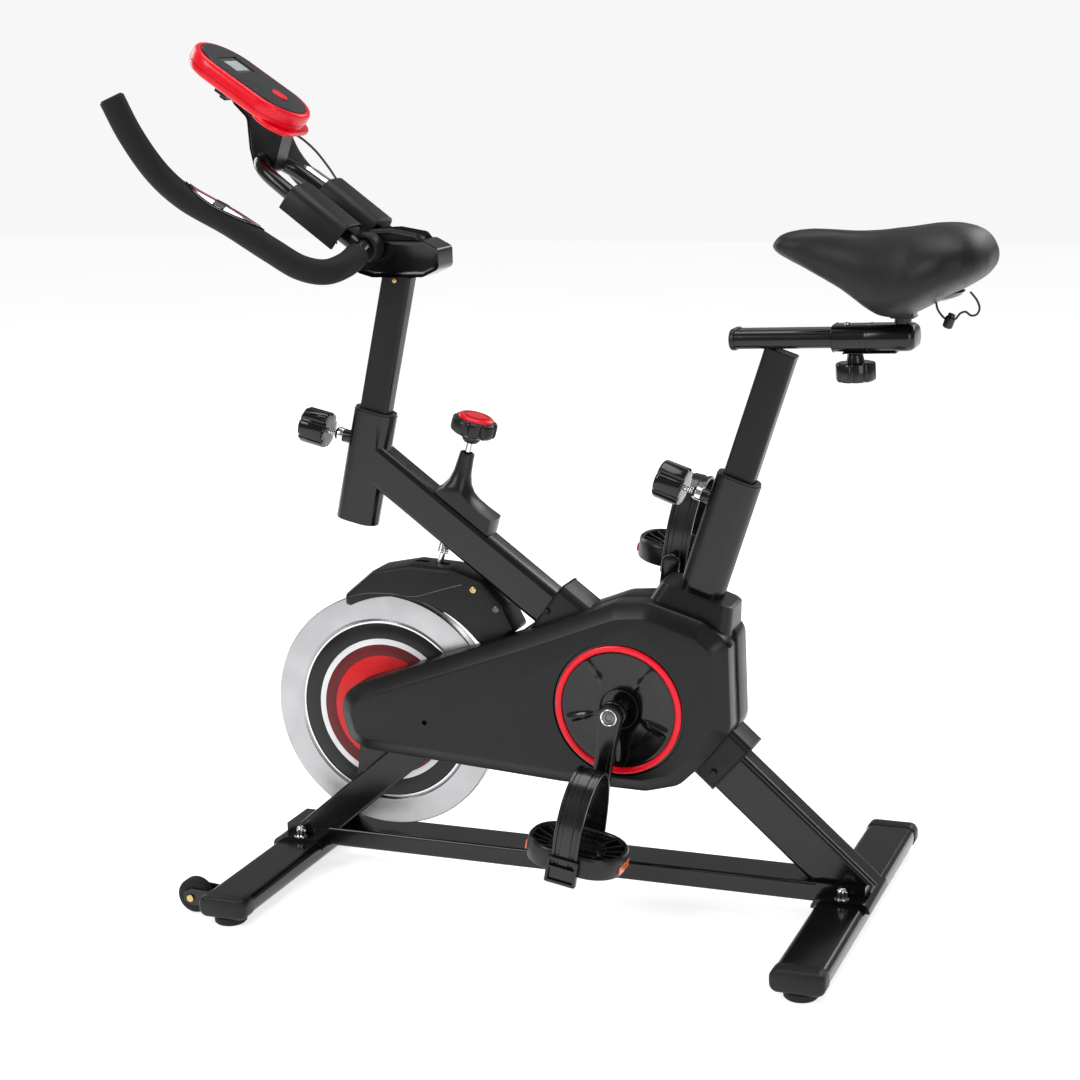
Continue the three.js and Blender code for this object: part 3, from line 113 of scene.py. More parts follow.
def add_lights():
    aim = Vector((0, 0, 0.55))
    for name, at, size, power in (
            ("key", (-2.4, -3.4, 3.2), (1.8, 2.4), 88), ("fill", (3.2, -3.0, 1.8), (1.6, 2.4), 38),
            ("top", (0.2, 0.3, 4.0), (3.0, 2.2), 72), ("rim", (1.8, 3.4, 2.6), (2.6, 1.4), 45),
            ("rim_front", (-3.4, 1.6, 1.9), (1.4, 2.4), 40)):
        data = bpy.data.lights.new(name, "AREA")
        data.shape = "RECTANGLE"
        data.size, data.size_y = size
        data.energy = power
        turn = (Vector(at) - aim).to_track_quat("Z", "Y").to_matrix().to_4x4()
        add_object(name, data).matrix_world = Matrix.Translation(at) @ turn


def add_world():
    """Soft sky for the light, and white paper where the camera looks past the bike."""
    world = bpy.data.worlds.new("studio")
    world.use_nodes = True
    tree = world.node_tree
    sky = feed(tree, tree.nodes["Background"], Color=(0.95, 0.96, 0.97, 1), Strength=0.3)
    paper = add_node(tree, "ShaderNodeBackground", Color=(0.93, 0.93, 0.93, 1))
    seen = add_node(tree, "ShaderNodeLightPath").outputs["Is Camera Ray"]
    either = tree.nodes.new("ShaderNodeMixShader")
    for socket, source in zip(either.inputs, (seen, sky.outputs[0], paper.outputs[0])):
        tree.links.new(source, socket)
    feed(tree, tree.nodes["World Output"], Surface=either.outputs[0])
    bpy.context.scene.world = world
    bpy.context.scene.view_settings.view_transform = "Standard"


def add_floor():
    mesh = bpy.data.meshes.new("floor")
    half = 9
    corners = [(-half, -half, 0), (half, -half, 0), (half, half, 0), (-half, half, 0)]
    mesh.from_pydata(corners, [], [(0, 1, 2, 3)])
    paint = grained("floor_paint", 0.80, 0.84, (0.5, 0.6), 300, 0.00005, patch=2)
    tree = paint.node_tree
    feed(tree, tree.nodes["Principled BSDF"], Emission_Color=(1, 1, 1, 1), Emission_Strength=0.7)
    mesh.materials.append(paint)
    add_object("floor", mesh)


# ------------------------------------------------------------- drawing helpers
def make_object(name, points, faces):
    mesh = bpy.data.meshes.new(name)
    mesh.from_pydata([metres(p) for p in points], [], faces)
    shape = bmesh.new()
    shape.from_mesh(mesh)
    bmesh.ops.remove_doubles(shape, verts=shape.verts, dist=1e-6)
    bmesh.ops.recalc_face_normals(shape, faces=shape.faces)
    shape.to_mesh(mesh)
    shape.free()
    obj = add_object(name, mesh)
    smooth_by_angle(obj)
    return obj


def smooth_by_angle(obj):
    obj.data.shade_smooth()
    obj.data.set_sharp_from_angle(angle=math.radians(38))


def place(obj, body, material, *nodes, slot=None):
    obj.data.materials.append(material)
    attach(obj, body)
    if nodes:
        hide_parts(*nodes)
    return obj


def piece(name, shape, *placing, **slot):
    return place(make_object(name, *shape), *placing, **slot)


def skin(rings, closed=False, caps=True):
    """Points and faces of a surface through rings that have the same number of points."""
    n = len(rings[0])
    points = [p for ring in rings for p in ring]
    faces = []
    for i in range(len(rings) if closed else len(rings) - 1):
        a = i * n
        b = ((i + 1) % len(rings)) * n
        for j in range(n):
            k = (j + 1) % n
            faces.append((a + j, a + k, b + k, b + j))
    if caps and not closed:
        faces.append(tuple(reversed(range(n))))
        faces.append(tuple(range(len(points) - n, len(points))))
    return points, faces


def joined(*shapes):
    """Several closed shapes as one."""
    points, faces = [], []
    for more, sides in shapes:
        start = len(points)
        points += more
        faces += [tuple(start + i for i in side) for side in sides]
    return points, faces


def round_section(w, h, r, steps=8):
    """Rounded rectangle as (u, v, normal u, normal v), anticlockwise."""
    r = min(r, w / 2 - 0.001, h / 2 - 0.001)
    out = []
    for corner in range(4):
        cu = (w / 2 - r) * (1 if corner in (0, 3) else -1)
        cv = (h / 2 - r) * (1 if corner in (0, 1) else -1)
        for i in range(steps + 1):
            a = math.pi / 2 * (corner + i / steps)
            nu, nv = math.cos(a), math.sin(a)
            out.append((cu + r * nu, cv + r * nv, nu, nv))
    return out


def round_points(sides):
    turns = (2 * math.pi * i / sides for i in range(sides))
    return [(math.cos(a), math.sin(a)) for a in turns]


def circle_section(r, sides=32):
    return [(r * u, r * v, u, v) for u, v in round_points(sides)]


def eased_ends(length, edge, steps=3):
    """Stations (distance along, inset) that ease both ends of a prism."""
    if edge <= 0:
        return [(0, 0), (length, 0)]
    turns = (math.pi / 2 * (1 - i / steps) for i in range(steps + 1))
    start = [(edge * math.sin(a), edge * math.cos(a)) for a in turns]
    return start + [(length - s, inset) for s, inset in reversed(start)]


def prism(section, a, b, side=Y_AXIS, edge=0.8, stations=None):
    """A section swept straight from a to b; its v axis follows side."""
    direction = (b - a).normalized()
    across = side.cross(direction).normalized()
    up = direction.cross(across)
    rings = [
        [a + direction * s + across * (u - nu * inset) + up * (v - nv * inset) for u, v, nu, nv in section]
        for s, inset in (stations or eased_ends((b - a).length, edge))
    ]
    return skin(rings)


def drawn_in(outline, d):
    """Clockwise outline of (x, z, corner radius) with every edge moved inward by d."""
    lines = []
    for (x0, z0, _), (x1, z1, _) in zip(outline, outline[1:] + outline[:1]):
        length = math.hypot(x1 - x0, z1 - z0)
        nx, nz = (z1 - z0) / length, -(x1 - x0) / length
        lines.append((nx, nz, nx * x0 + nz * z0 + d))
    out = []
    for i, (_, _, r) in enumerate(outline):
        a1, b1, c1 = lines[i - 1]
        a2, b2, c2 = lines[i]
        det = a1 * b2 - a2 * b1
        out.append(((c1 * b2 - c2 * b1) / det, (a1 * c2 - a2 * c1) / det, max(r - d * 0.6, 0.4)))
    return out


def softened(points, steps, flattest=0.999):
    """Outline of (x, y, corner radius) points with eased corners; no radius keeps a corner."""
    out = []
    for i, (x, y, *r) in enumerate(points):
        if not any(r):
            out.append((x, y))
            continue
        here = Vector((x, y))
        back = (Vector(points[i - 1][:2]) - here).normalized()
        on = (Vector(points[(i + 1) % len(points)][:2]) - here).normalized()
        cut = r[0] / math.tan(math.acos(max(-flattest, min(flattest, back.dot(on)))) / 2)
        for k in range(steps + 1):
            t = k / steps
            out.append(tuple(here + back * cut * (1 - t) ** 2 + on * cut * t ** 2))
    return out


def plate(outline, y0, y1, edge=0.8, steps=6):
    """Outline in x and z extruded in y with eased edges."""
    return staged_plate(outline, [(y0 + s, inset) for s, inset in eased_ends(y1 - y0, edge)], steps)


def staged_plate(outline, stations, steps=8):
    """Outline in x and z through stations of (y, inset)."""
    return skin([[Vector((x, y, z)) for x, z in softened(drawn_in(outline, inset), steps, 1)]
                 for y, inset in stations])


def frame_on(axis):
    axis = axis.normalized()
    side = Z_AXIS if abs(axis.y) > 0.9 else Y_AXIS
    u = side.cross(axis).normalized()
    return axis, u, axis.cross(u)


def turned(profile, origin, axis, sides=72):
    """Profile of (radius, height) or (radius, height, corner radius) turned about an axis."""
    axis, u, v = frame_on(axis)
    hollow = profile[0][0] > ON_AXIS
    return skin([[origin + axis * h + (u * c + v * s) * r for c, s in round_points(sides)]
                 for r, h in softened(profile, 3)], closed=hollow)


def rod(r, a, b, sides=32, edge=0.6):
    side = Z_AXIS if abs((b - a).normalized().y) > 0.9 else Y_AXIS
    return prism(circle_section(r, sides), a, b, side, edge)


class Path:
    """Smooth curve through points (centripetal), measured by its length."""

    def __init__(self, points, fine=60):
        points = [Vector(p) for p in points]
        first = points[0] * 2 - points[1]
        last = points[-1] * 2 - points[-2]
        knots = [first] + points + [last]
        self.points = []
        for i in range(1, len(knots) - 2):
            p = knots[i - 1:i + 3]
            for k in range(fine):
                self.points.append(self.between(p, k / fine))
        self.points.append(points[-1])
        self.lengths = [0]
        for a, b in zip(self.points, self.points[1:]):
            self.lengths.append(self.lengths[-1] + (b - a).length)

    @staticmethod
    def between(p, t):
        d = [math.sqrt((b - a).length) for a, b in zip(p, p[1:])]
        m1 = (p[1] - p[0]) / d[0] - (p[2] - p[0]) / (d[0] + d[1]) + (p[2] - p[1]) / d[1]
        m2 = (p[2] - p[1]) / d[1] - (p[3] - p[1]) / (d[1] + d[2]) + (p[3] - p[2]) / d[2]
        m1 *= d[1]
        m2 *= d[1]
        return (p[1] * (2 * t ** 3 - 3 * t ** 2 + 1) + m1 * (t ** 3 - 2 * t ** 2 + t)
                + p[2] * (3 * t ** 2 - 2 * t ** 3) + m2 * (t ** 3 - t ** 2))

    def at(self, fraction):
        goal = max(0, min(1, fraction)) * self.lengths[-1]
        low, high = 0, len(self.lengths) - 1
        while high - low > 1:
            mid = (low + high) // 2
            if self.lengths[mid] <= goal:
                low = mid
            else:
                high = mid
        span = self.lengths[high] - self.lengths[low] or 1
        return self.points[low].lerp(self.points[high], (goal - self.lengths[low]) / span)

    def heading(self, fraction):
        return (self.at(fraction + 0.002) - self.at(fraction - 0.002)).normalized()


def tube(path, radius_at, start=0, end=1, count=80, sides=28, guide=Z_AXIS):
    """Round tube on a path; radius_at is a number or a function of distance from 0 to 1."""
    rings = []
    for i in range(count + 1):
        f = start + (end - start) * i / count
        heading = path.heading(f)
        u = guide.cross(heading).normalized()
        v = heading.cross(u)
        r = radius_at(i / count) if callable(radius_at) else radius_at
        rings.append([path.at(f) + (u * c + v * s) * r for c, s in round_points(sides)])
    return skin(rings)


def tapered_ends(radius, length, edge):
    """Radius along a tube whose two ends are rounded by edge."""
    def radius_at(t):
        near = min(t, 1 - t) * length
        if near >= edge:
            return radius
        return radius - edge + math.sqrt(max(0, edge ** 2 - (edge - near) ** 2))
    return radius_at


def box(centre, ux, uy, uz, sx, sy, sz):
    """Box with half sizes sx, sy, sz on three directions."""
    points = [centre + ux * (a * sx) + uy * (b * sy) + uz * (c * sz)
              for a in (-1, 1) for b in (-1, 1) for c in (-1, 1)]
    faces = [(0, 1, 3, 2), (4, 6, 7, 5), (0, 4, 5, 1), (2, 3, 7, 6), (0, 2, 6, 4), (1, 5, 7, 3)]
    return points, faces


# ------------------------------------------------------------- mesh finishing
def freeze(obj):
    """Applies an object's modifiers to its mesh."""
    made = obj.evaluated_get(bpy.context.evaluated_depsgraph_get())
    mesh = bpy.data.meshes.new_from_object(made)
    obj.modifiers.clear()
    obj.data = mesh


def cut_with(obj, shape):
    cutter = make_object("cutter", *shape)
    tool = obj.modifiers.new("cut", "BOOLEAN")
    tool.operation = "DIFFERENCE"
    tool.solver = "EXACT"
    tool.object = cutter
    freeze(obj)
    bpy.data.objects.remove(cutter)
    smooth_by_angle(obj)


def cut_round(obj, x, z, y0, y1, r, sides=96):
    cut_with(obj, prism(circle_section(r, sides), Vector((x, y0, z)), Vector((x, y1, z)), Z_AXIS, 0))


def ease(obj, width, segments):
    """Small rounding of every real corner, in millimetres."""
    edge = obj.modifiers.new("eased", "BEVEL")
    edge.width = width * 0.001
    edge.segments = segments
    edge.limit_method = "ANGLE"
    edge.angle_limit = math.radians(40)
    edge.harden_normals = True


# ------------------------------------------------------------- materials
def colour(tone):
    """A grey from one number, a near-grey from (red and green, blue), or a full colour."""
    tone = tone if isinstance(tone, tuple) else (tone, tone)
    return tone if len(tone) == 3 else (tone[0], *tone)


def node_setup(name):
    material = bpy.data.materials.new(name)
    material.use_nodes = True
    tree = material.node_tree
    return material, tree, add_node(tree, "ShaderNodeTexCoord").outputs["Object"]


def finish_material(material, **inputs):
    feed(material.node_tree, material.node_tree.nodes["Principled BSDF"], **inputs)
    return material


def noise_node(tree, coords, scale, detail=4, rough=0.5):
    return add_node(tree, "ShaderNodeTexNoise", Vector=coords, Scale=scale, Detail=detail,
                    Roughness=rough).outputs["Fac"]


def ranged(tree, value, low, high, span=(0.3, 0.7)):
    return add_node(tree, "ShaderNodeMapRange", Value=value, From_Min=span[0], From_Max=span[1],
                    To_Min=low, To_Max=high).outputs["Result"]


def two_tone(tree, value, dark, light):
    ramp = add_node(tree, "ShaderNodeValToRGB", Fac=value)
    for element, at, tone in zip(ramp.color_ramp.elements, (0.35, 0.65), (dark, light)):
        element.position = at
        element.color = (*colour(tone), 1)
    return ramp.outputs["Color"]


def bump(tree, height, strength, distance, **under):
    return add_node(tree, "ShaderNodeBump", Height=height, Strength=strength, Distance=distance,
                    **under).outputs["Normal"]


def grained(name, dark, light, rough, grain, depth, metallic=0, coat=0, patch=14, wave=None, shine=0.5):
    """Colour, roughness and relief that vary at two scales: broad patches and a fine grain."""
    material, tree, coords = node_setup(name)
    broad = noise_node(tree, coords, patch, 5)
    relief = bump(tree, noise_node(tree, coords, grain, 3, 0.6), 0.6, depth)
    if wave:
        scale, waviness = wave
        relief = bump(tree, noise_node(tree, coords, scale, 2), 0.5, waviness, Normal=relief)
    return finish_material(material, Base_Color=two_tone(tree, broad, dark, light), Normal=relief,
                           Roughness=ranged(tree, broad, *rough), Metallic=metallic, Coat_Weight=coat,
                           Specular_IOR_Level=shine, Coat_Roughness=0.08)


def leather(name):
    """Smooth artificial leather: fine pebble from cells, soft sheen."""
    material, tree, coords = node_setup(name)
    cells = add_node(tree, "ShaderNodeTexVoronoi", Vector=coords, Scale=900)
    cells.feature = "DISTANCE_TO_EDGE"
    pebble = ranged(tree, cells.outputs["Distance"], 0, 1, (0, 0.25))
    broad = noise_node(tree, coords, 9, 5)
    soft = bump(tree, noise_node(tree, coords, 60, 3), 0.4, 0.0004)
    return finish_material(material, Base_Color=two_tone(tree, broad, (0.004, 0.0045), (0.008, 0.009)),
                           Roughness=ranged(tree, broad, 0.4, 0.5), Specular_IOR_Level=0.3,
                           Normal=bump(tree, pebble, 0.35, 0.00012, Normal=soft),
                           Sheen_Weight=0.02, Sheen_Roughness=0.5)


def foam_grip(name):
    """Closed-cell foam: open pores, very matt."""
    material, tree, coords = node_setup(name)
    pores = add_node(tree, "ShaderNodeTexVoronoi", Vector=coords, Scale=1100)
    broad = noise_node(tree, coords, 20, 4)
    soft = bump(tree, noise_node(tree, coords, 90, 4), 0.3, 0.0001)
    return finish_material(material, Base_Color=two_tone(tree, broad, (0.005, 0.0055), (0.009, 0.0095)),
                           Roughness=ranged(tree, broad, 0.62, 0.78), Specular_IOR_Level=0.25,
                           Normal=bump(tree, pores.outputs["Distance"], 0.3, 0.00008, Normal=soft))


def turned_metal(name, tint, centre):
    """Machined face: fine rings about an axis along y."""
    material, tree, coords = node_setup(name)
    reach = coords
    for operation, other in (("SUBTRACT", metres(centre)), ("MULTIPLY", (1, 0, 1)), ("LENGTH", None)):
        step = tree.nodes.new("ShaderNodeVectorMath")
        step.operation = operation
        tree.links.new(reach, step.inputs[0])
        if other:
            step.inputs[1].default_value = other
        reach = step.outputs["Value" if operation == "LENGTH" else 0]
    rings = tree.nodes.new("ShaderNodeTexNoise")
    rings.noise_dimensions = "1D"
    feed(tree, rings, W=reach, Scale=2600, Detail=2)
    broad = noise_node(tree, coords, 18, 4)
    dark = tuple(c * 0.86 for c in tint)
    return finish_material(material, Base_Color=two_tone(tree, broad, dark, tint), Metallic=1,
                           Roughness=ranged(tree, rings.outputs["Fac"], 0.2, 0.3),
                           Normal=bump(tree, rings.outputs["Fac"], 0.25, 0.00002))


GLOSS_PAINT = grained("gloss_paint", (0.0022, 0.0025), (0.0045, 0.005), (0.14, 0.22), 420, 0.00002,
                      wave=(70, 0.00008), shine=0.42)
SATIN_PAINT = grained("satin_paint", (0.003, 0.0033), (0.006, 0.0065), (0.3, 0.42), 900, 0.00003,
                      wave=(120, 0.00006), shine=0.3)
MATT_PLASTIC = grained("matt_plastic", (0.004, 0.0045), (0.007, 0.0075), (0.4, 0.5), 1400, 0.00003, shine=0.3)
TRIM_PLASTIC = grained("trim_plastic", (0.004, 0.0044), (0.008, 0.0085), (0.26, 0.38), 1600, 0.00004,
                       shine=0.36)
GLOSS_PLASTIC = grained("gloss_plastic", (0.002, 0.0022), (0.0045, 0.005), (0.1, 0.2), 500, 0.00002,
                        shine=0.45)
RED_PLASTIC = grained("red_plastic", (0.74, 0.001, 0.013), (0.82, 0.002, 0.018), (0.24, 0.32), 160, 0.00001,
                      shine=0.36)
RED_DEEP = grained("red_deep", (0.10, 0.0015, 0.003), (0.14, 0.002, 0.004), (0.34, 0.46), 700, 0.00002,
                   shine=0.35)
RED_BRIGHT = grained("red_bright", (0.60, 0.002, 0.004), (0.74, 0.004, 0.006), (0.3, 0.4), 700, 0.00002,
                     shine=0.35)
WHITE_BAND = grained("white_band", 0.74, 0.84, (0.2, 0.3), 700, 0.00002)
GREY_PANEL = grained("grey_panel", (0.016, 0.0165, 0.018), (0.024, 0.0245, 0.027), (0.36, 0.46), 1800,
                     0.00005, shine=0.4)
RUBBER = grained("rubber", 0.005, 0.009, (0.6, 0.75), 1300, 0.00012, shine=0.3)
CHROME = grained("chrome", (0.60, 0.61, 0.63), (0.74, 0.75, 0.76), (0.06, 0.14), 300, 0.00001, metallic=1)
STEEL = grained("steel", (0.36, 0.37), (0.5, 0.51), (0.28, 0.42), 900, 0.00006, metallic=1)
BRASS = grained("brass", (0.52, 0.36, 0.13), (0.68, 0.5, 0.22), (0.2, 0.34), 600, 0.00004, metallic=1)
AMBER = grained("reflector", (0.78, 0.09, 0.02), (0.9, 0.16, 0.04), (0.1, 0.2), 900, 0.00012, coat=0.6)
# Painted shade: a dead-black matt colour for plugs and linings set inside holes and gaps, standing in for the
# shade there; the casing screw heads carry it too.
HOLE_SHADE = grained("painted_hole_shade", 0.002, 0.004, (0.6, 0.8), 500, 0.00002)
SCREEN = grained("display", (0.42, 0.47, 0.44), (0.52, 0.56, 0.53), (0.12, 0.2), 260, 0.00001, coat=0.7)
LACE = grained("lace", 0.012, 0.024, (0.55, 0.7), 2600, 0.0002)
BLACK_DISC = grained("disc_black", 0.003, 0.006, (0.24, 0.34), 600, 0.00002, shine=0.35)
STRAP_RUBBER = grained("strap_rubber", 0.004, 0.008, (0.16, 0.26), 900, 0.00002, shine=0.5)
CASE_PLASTIC = grained("case_plastic", (0.0035, 0.004), (0.006, 0.0065), (0.3, 0.38), 900, 0.00002, shine=0.3)
WINDOW = grained("window", (0.004, 0.005), (0.008, 0.009), (0.06, 0.12), 300, 0.00001, coat=0.8)
DARK_STEEL = grained("dark_steel", 0.10, 0.18, (0.25, 0.4), 900, 0.00005, metallic=1)
FOAM = foam_grip("foam_grip")
LEATHER = leather("saddle_leather")
WHEEL_FACE = turned_metal("wheel_face", (0.44, 0.44, 0.45), WHEEL)


# ------------------------------------------------------------- CAD pieces kept as they are
def shading_group(degrees):
    """Node group that joins a mesh's doubled points and keeps only real corners sharp."""
    group = bpy.data.node_groups.new("edge_shading", "GeometryNodeTree")
    group.interface.new_socket("Geometry", in_out="INPUT", socket_type="NodeSocketGeometry")
    group.interface.new_socket("Geometry", in_out="OUTPUT", socket_type="NodeSocketGeometry")
    start = group.nodes.new("NodeGroupInput").outputs[0]
    merge = add_node(group, "GeometryNodeMergeByDistance", Geometry=start, Distance=1e-6)
    faces = add_node(group, "GeometryNodeSetShadeSmooth", Geometry=merge.outputs[0])
    faces.domain = "FACE"
    angle = add_node(group, "GeometryNodeInputMeshEdgeAngle").outputs["Unsigned Angle"]
    small = group.nodes.new("FunctionNodeCompare")
    small.operation = "LESS_THAN"
    feed(group, small, A=angle, B=math.radians(degrees))
    edges = add_node(group, "GeometryNodeSetShadeSmooth", Geometry=faces.outputs[0])
    edges.domain = "EDGE"
    feed(group, edges, Shade_Smooth=small.outputs["Result"])
    group.links.new(edges.outputs[0], group.nodes.new("NodeGroupOutput").inputs[0])
    return group


EDGE_SHADING = shading_group(32)
CAD_LOOKS = ((GLOSS_PAINT, "main_frame seat_tube rear_leg base_tube fork front_stabiliser rear_stabiliser"),
             (TRIM_PLASTIC, "head_sleeve seat_sleeve"), (RUBBER, "drive_belt brake_pad"),
             (STEEL, "flywheel_axle flywheel_pulley drive_pulley"))


def finish_nodes():
    """Gives the carried-over CAD nodes their material and clean shading."""
    for material, names in CAD_LOOKS:
        for obj in (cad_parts[name] for name in names.split()):
            for slot in obj.material_slots:
                slot.material = material
            if not obj.material_slots:
                obj.data.materials.append(material)
            obj.modifiers.new("shading", "NODES").node_group = EDGE_SHADING
            even = obj.modifiers.new("even", "WEIGHTED_NORMAL")
            even.weight = 80
            even.keep_sharp = True


# ------------------------------------------------------------- flywheel
def make_flywheel():
    rim = [(121.2, -5), (126.5, -9, 0.8), (159, -9, 0.4), (160, -8, 0.4), (160, 8, 0.4), (159, 9, 0.4),
           (126.5, 9, 0.8), (121.2, 5)]
    piece("flywheel_rim", turned(rim, WHEEL, Y_AXIS, 192), "wheel", WHEEL_FACE, "flywheel")
    web = [(6.6, -5), (121.6, -5), (121.6, 5), (60, 5), (56, 7), (30, 7), (26, 9.5), (6.6, 9.5)]
    piece("flywheel_web", turned(web, WHEEL, Y_AXIS, 96), "wheel", SATIN_PAINT)
    lip = [(119.4, -6), (120.2, -8.4, 0.5), (122.6, -8.4, 0.5), (123.6, -6.8)]
    piece("flywheel_lip", turned(lip, WHEEL, Y_AXIS, 192), "wheel", CHROME)
    for name, outer, inner, material, *node in (
            ("disc_black", 119.6, 98.5, BLACK_DISC, "flywheel_disc"), ("disc_white", 98.5, 90.5, WHITE_BAND),
            ("disc_dark_red", 90.5, 75, RED_DEEP), ("disc_red", 75, 16.5, RED_BRIGHT)):
        ring = [(inner, -7.6), (outer - 0.3, -7.6), (outer, -7.4), (outer, -5.3), (inner, -5.3)]
        piece(name, turned(ring, WHEEL, Y_AXIS, 192), "wheel", material, *node, slot="wheel_disc")


# ------------------------------------------------------------- round cover and cranks
def crease(r, angle):
    """Height of the five tapering ridges pressed into the round cover."""
    pitch = 2 * math.pi / 5
    off = (angle - math.radians(50) + pitch / 2) % pitch - pitch / 2
    across = r * math.sin(off) if abs(off) < 1 else 99
    reach = max(0.0, min(1.0, (r - 34) / 8)) * max(0.0, min(1.0, (73 - r) / 8))
    return 2.4 * reach * math.exp(-(across / (1.4 + 0.05 * r)) ** 2)


def make_cover():
    steps = [(25, -55.5), (25, -57.6), (25.6, -58.6), (27, -59), (34, -59.4), (40, -59.7), (45, -60),
             (47.5, -60.2), (50, -60), (54, -60), (58, -60.3), (62, -60.8), (66, -61.3), (70, -61.8),
             (73.4, -62.2), (75, -61.8), (75.5, -60.6), (75.6, -59.6), (86.4, -59.6), (87, -59),
             (87, -56.6), (25, -55.5)]
    rings = []
    for r, y in steps:
        ring = []
        for i in range(360):
            a = 2 * math.pi * i / 360
            out = Vector((math.cos(a), 0, math.sin(a)))
            ring.append(CRANK + out * r + Y_AXIS * (y - crease(r, a) if 27 < r < 75 else y))
        rings.append(ring)
    piece("round_cover", skin(rings), "frame", GLOSS_PLASTIC, "pulley_cover")
    ring = [(76, -60), (84, -60), (84, -63.4, 1.2), (82, -64.5, 1.4), (78.4, -64.5, 1.4), (76, -63.4, 1.2)]
    piece("red_ring", turned(ring, CRANK, Y_AXIS, 192), "frame", RED_PLASTIC, "cover_ring")
    # Painted shade: a dark ring lining the cover's bore.
    bore_shade_profile = [(24.8, -58.4), (26, -58.8), (26, -44), (24.8, -44)]
    piece("cover_bore_shade", turned(bore_shade_profile, CRANK, Y_AXIS, 72), "frame", HOLE_SHADE, slot="black_gloss_plastic")


def crank_tip(side):
    return CRANK + Vector((math.sin(CRANK_LEAN), 0, math.cos(CRANK_LEAN))) * (side * CRANK_LENGTH)


def make_crank(side, name, node):
    """Forged arm: round boss, tapering web with a shallow channel, round eye at the pedal."""
    tip = crank_tip(side)
    along = (tip - CRANK).normalized()
    across = along.cross(Y_AXIS)

    def half_circle(centre, r, start):
        turns = (math.pi * (start + k / 24) for k in range(25))
        return [(centre + r * math.cos(a), r * math.sin(a)) for a in turns]

    waist = [(18, 14.6), (40, 12.4), (90, 11.2), (138, 11.4)]
    outline = (half_circle(0, 16.5, 0.5) + [(u, -v) for u, v in waist]
               + half_circle(CRANK_LENGTH, 12.5, -0.5) + waist[::-1])

    def ring(y, shrink):
        pts = []
        for u, v in outline:
            centre = min(max(u, 0), CRANK_LENGTH)
            d = Vector((u - centre, v))
            d *= max(0, d.length - shrink) / d.length
            pts.append(CRANK + along * (centre + d.x) + across * d.y + Y_AXIS * (side * y))
        return pts

    def at(y, centre=CRANK):
        return centre + Y_AXIS * (side * y)

    arm = skin([ring(y, shrink) for y, shrink in (
        (84, 2), (84.6, 0.8), (86, 0), (94.6, 0), (96.4, 0.8), (97, 2.2), (97, 5.4), (96, 6.2))])
    piece(name, joined(arm, rod(17, at(76), at(85), 64, 1)), "crank", GLOSS_PLASTIC, node,
          slot="black_satin_paint")
    eye = [(9, 96), (11, 96), (11, 98.4, 0.8), (9.8, 98.6, 0.4), (9, 98, 0.2)]
    bolt = [(ON_AXIS, 96), (8.8, 96), (8.8, 98, 0.8), (4.4, 98.8, 0.4), (3.6, 97.4), (ON_AXIS, 97.4)]
    eye, bolt = ([(r, side * y, *edge) for r, y, *edge in profile] for profile in (eye, bolt))
    piece(name + "_eye", turned(eye, CRANK, Y_AXIS, 64), "crank", CHROME)
    piece(name + "_bolt", turned(bolt, CRANK, Y_AXIS, 48), "crank", DARK_STEEL)
    spindle = joined(rod(6, at(90, tip), at(196, tip), 40), rod(8.8, at(97.3, tip), at(101, tip), 6, 0.4))
    piece(name + "_spindle", spindle, "crank", STEEL)


# ------------------------------------------------------------- pedals
PEDAL_LENGTH = 126
PEDAL_WIDTH = 97
STRAP_TOP = 104  # inner face of the strap above the pedal axis
STRAP_WIDTH = 34


def tilted(shape, centre):
    """A shape turned about the y line through centre, front edge up."""
    points, faces = shape
    c, s = math.cos(PEDAL_TILT), math.sin(PEDAL_TILT)
    turn = []
    for p in points:
        d = p - centre
        turn.append(Vector((centre.x + d.x * c + d.z * s, p.y, centre.z - d.x * s + d.z * c)))
    return turn, faces


def upright_box(centre, sx, sy, sz):
    return box(centre, X_AXIS, Y_AXIS, Z_AXIS, sx, sy, sz)


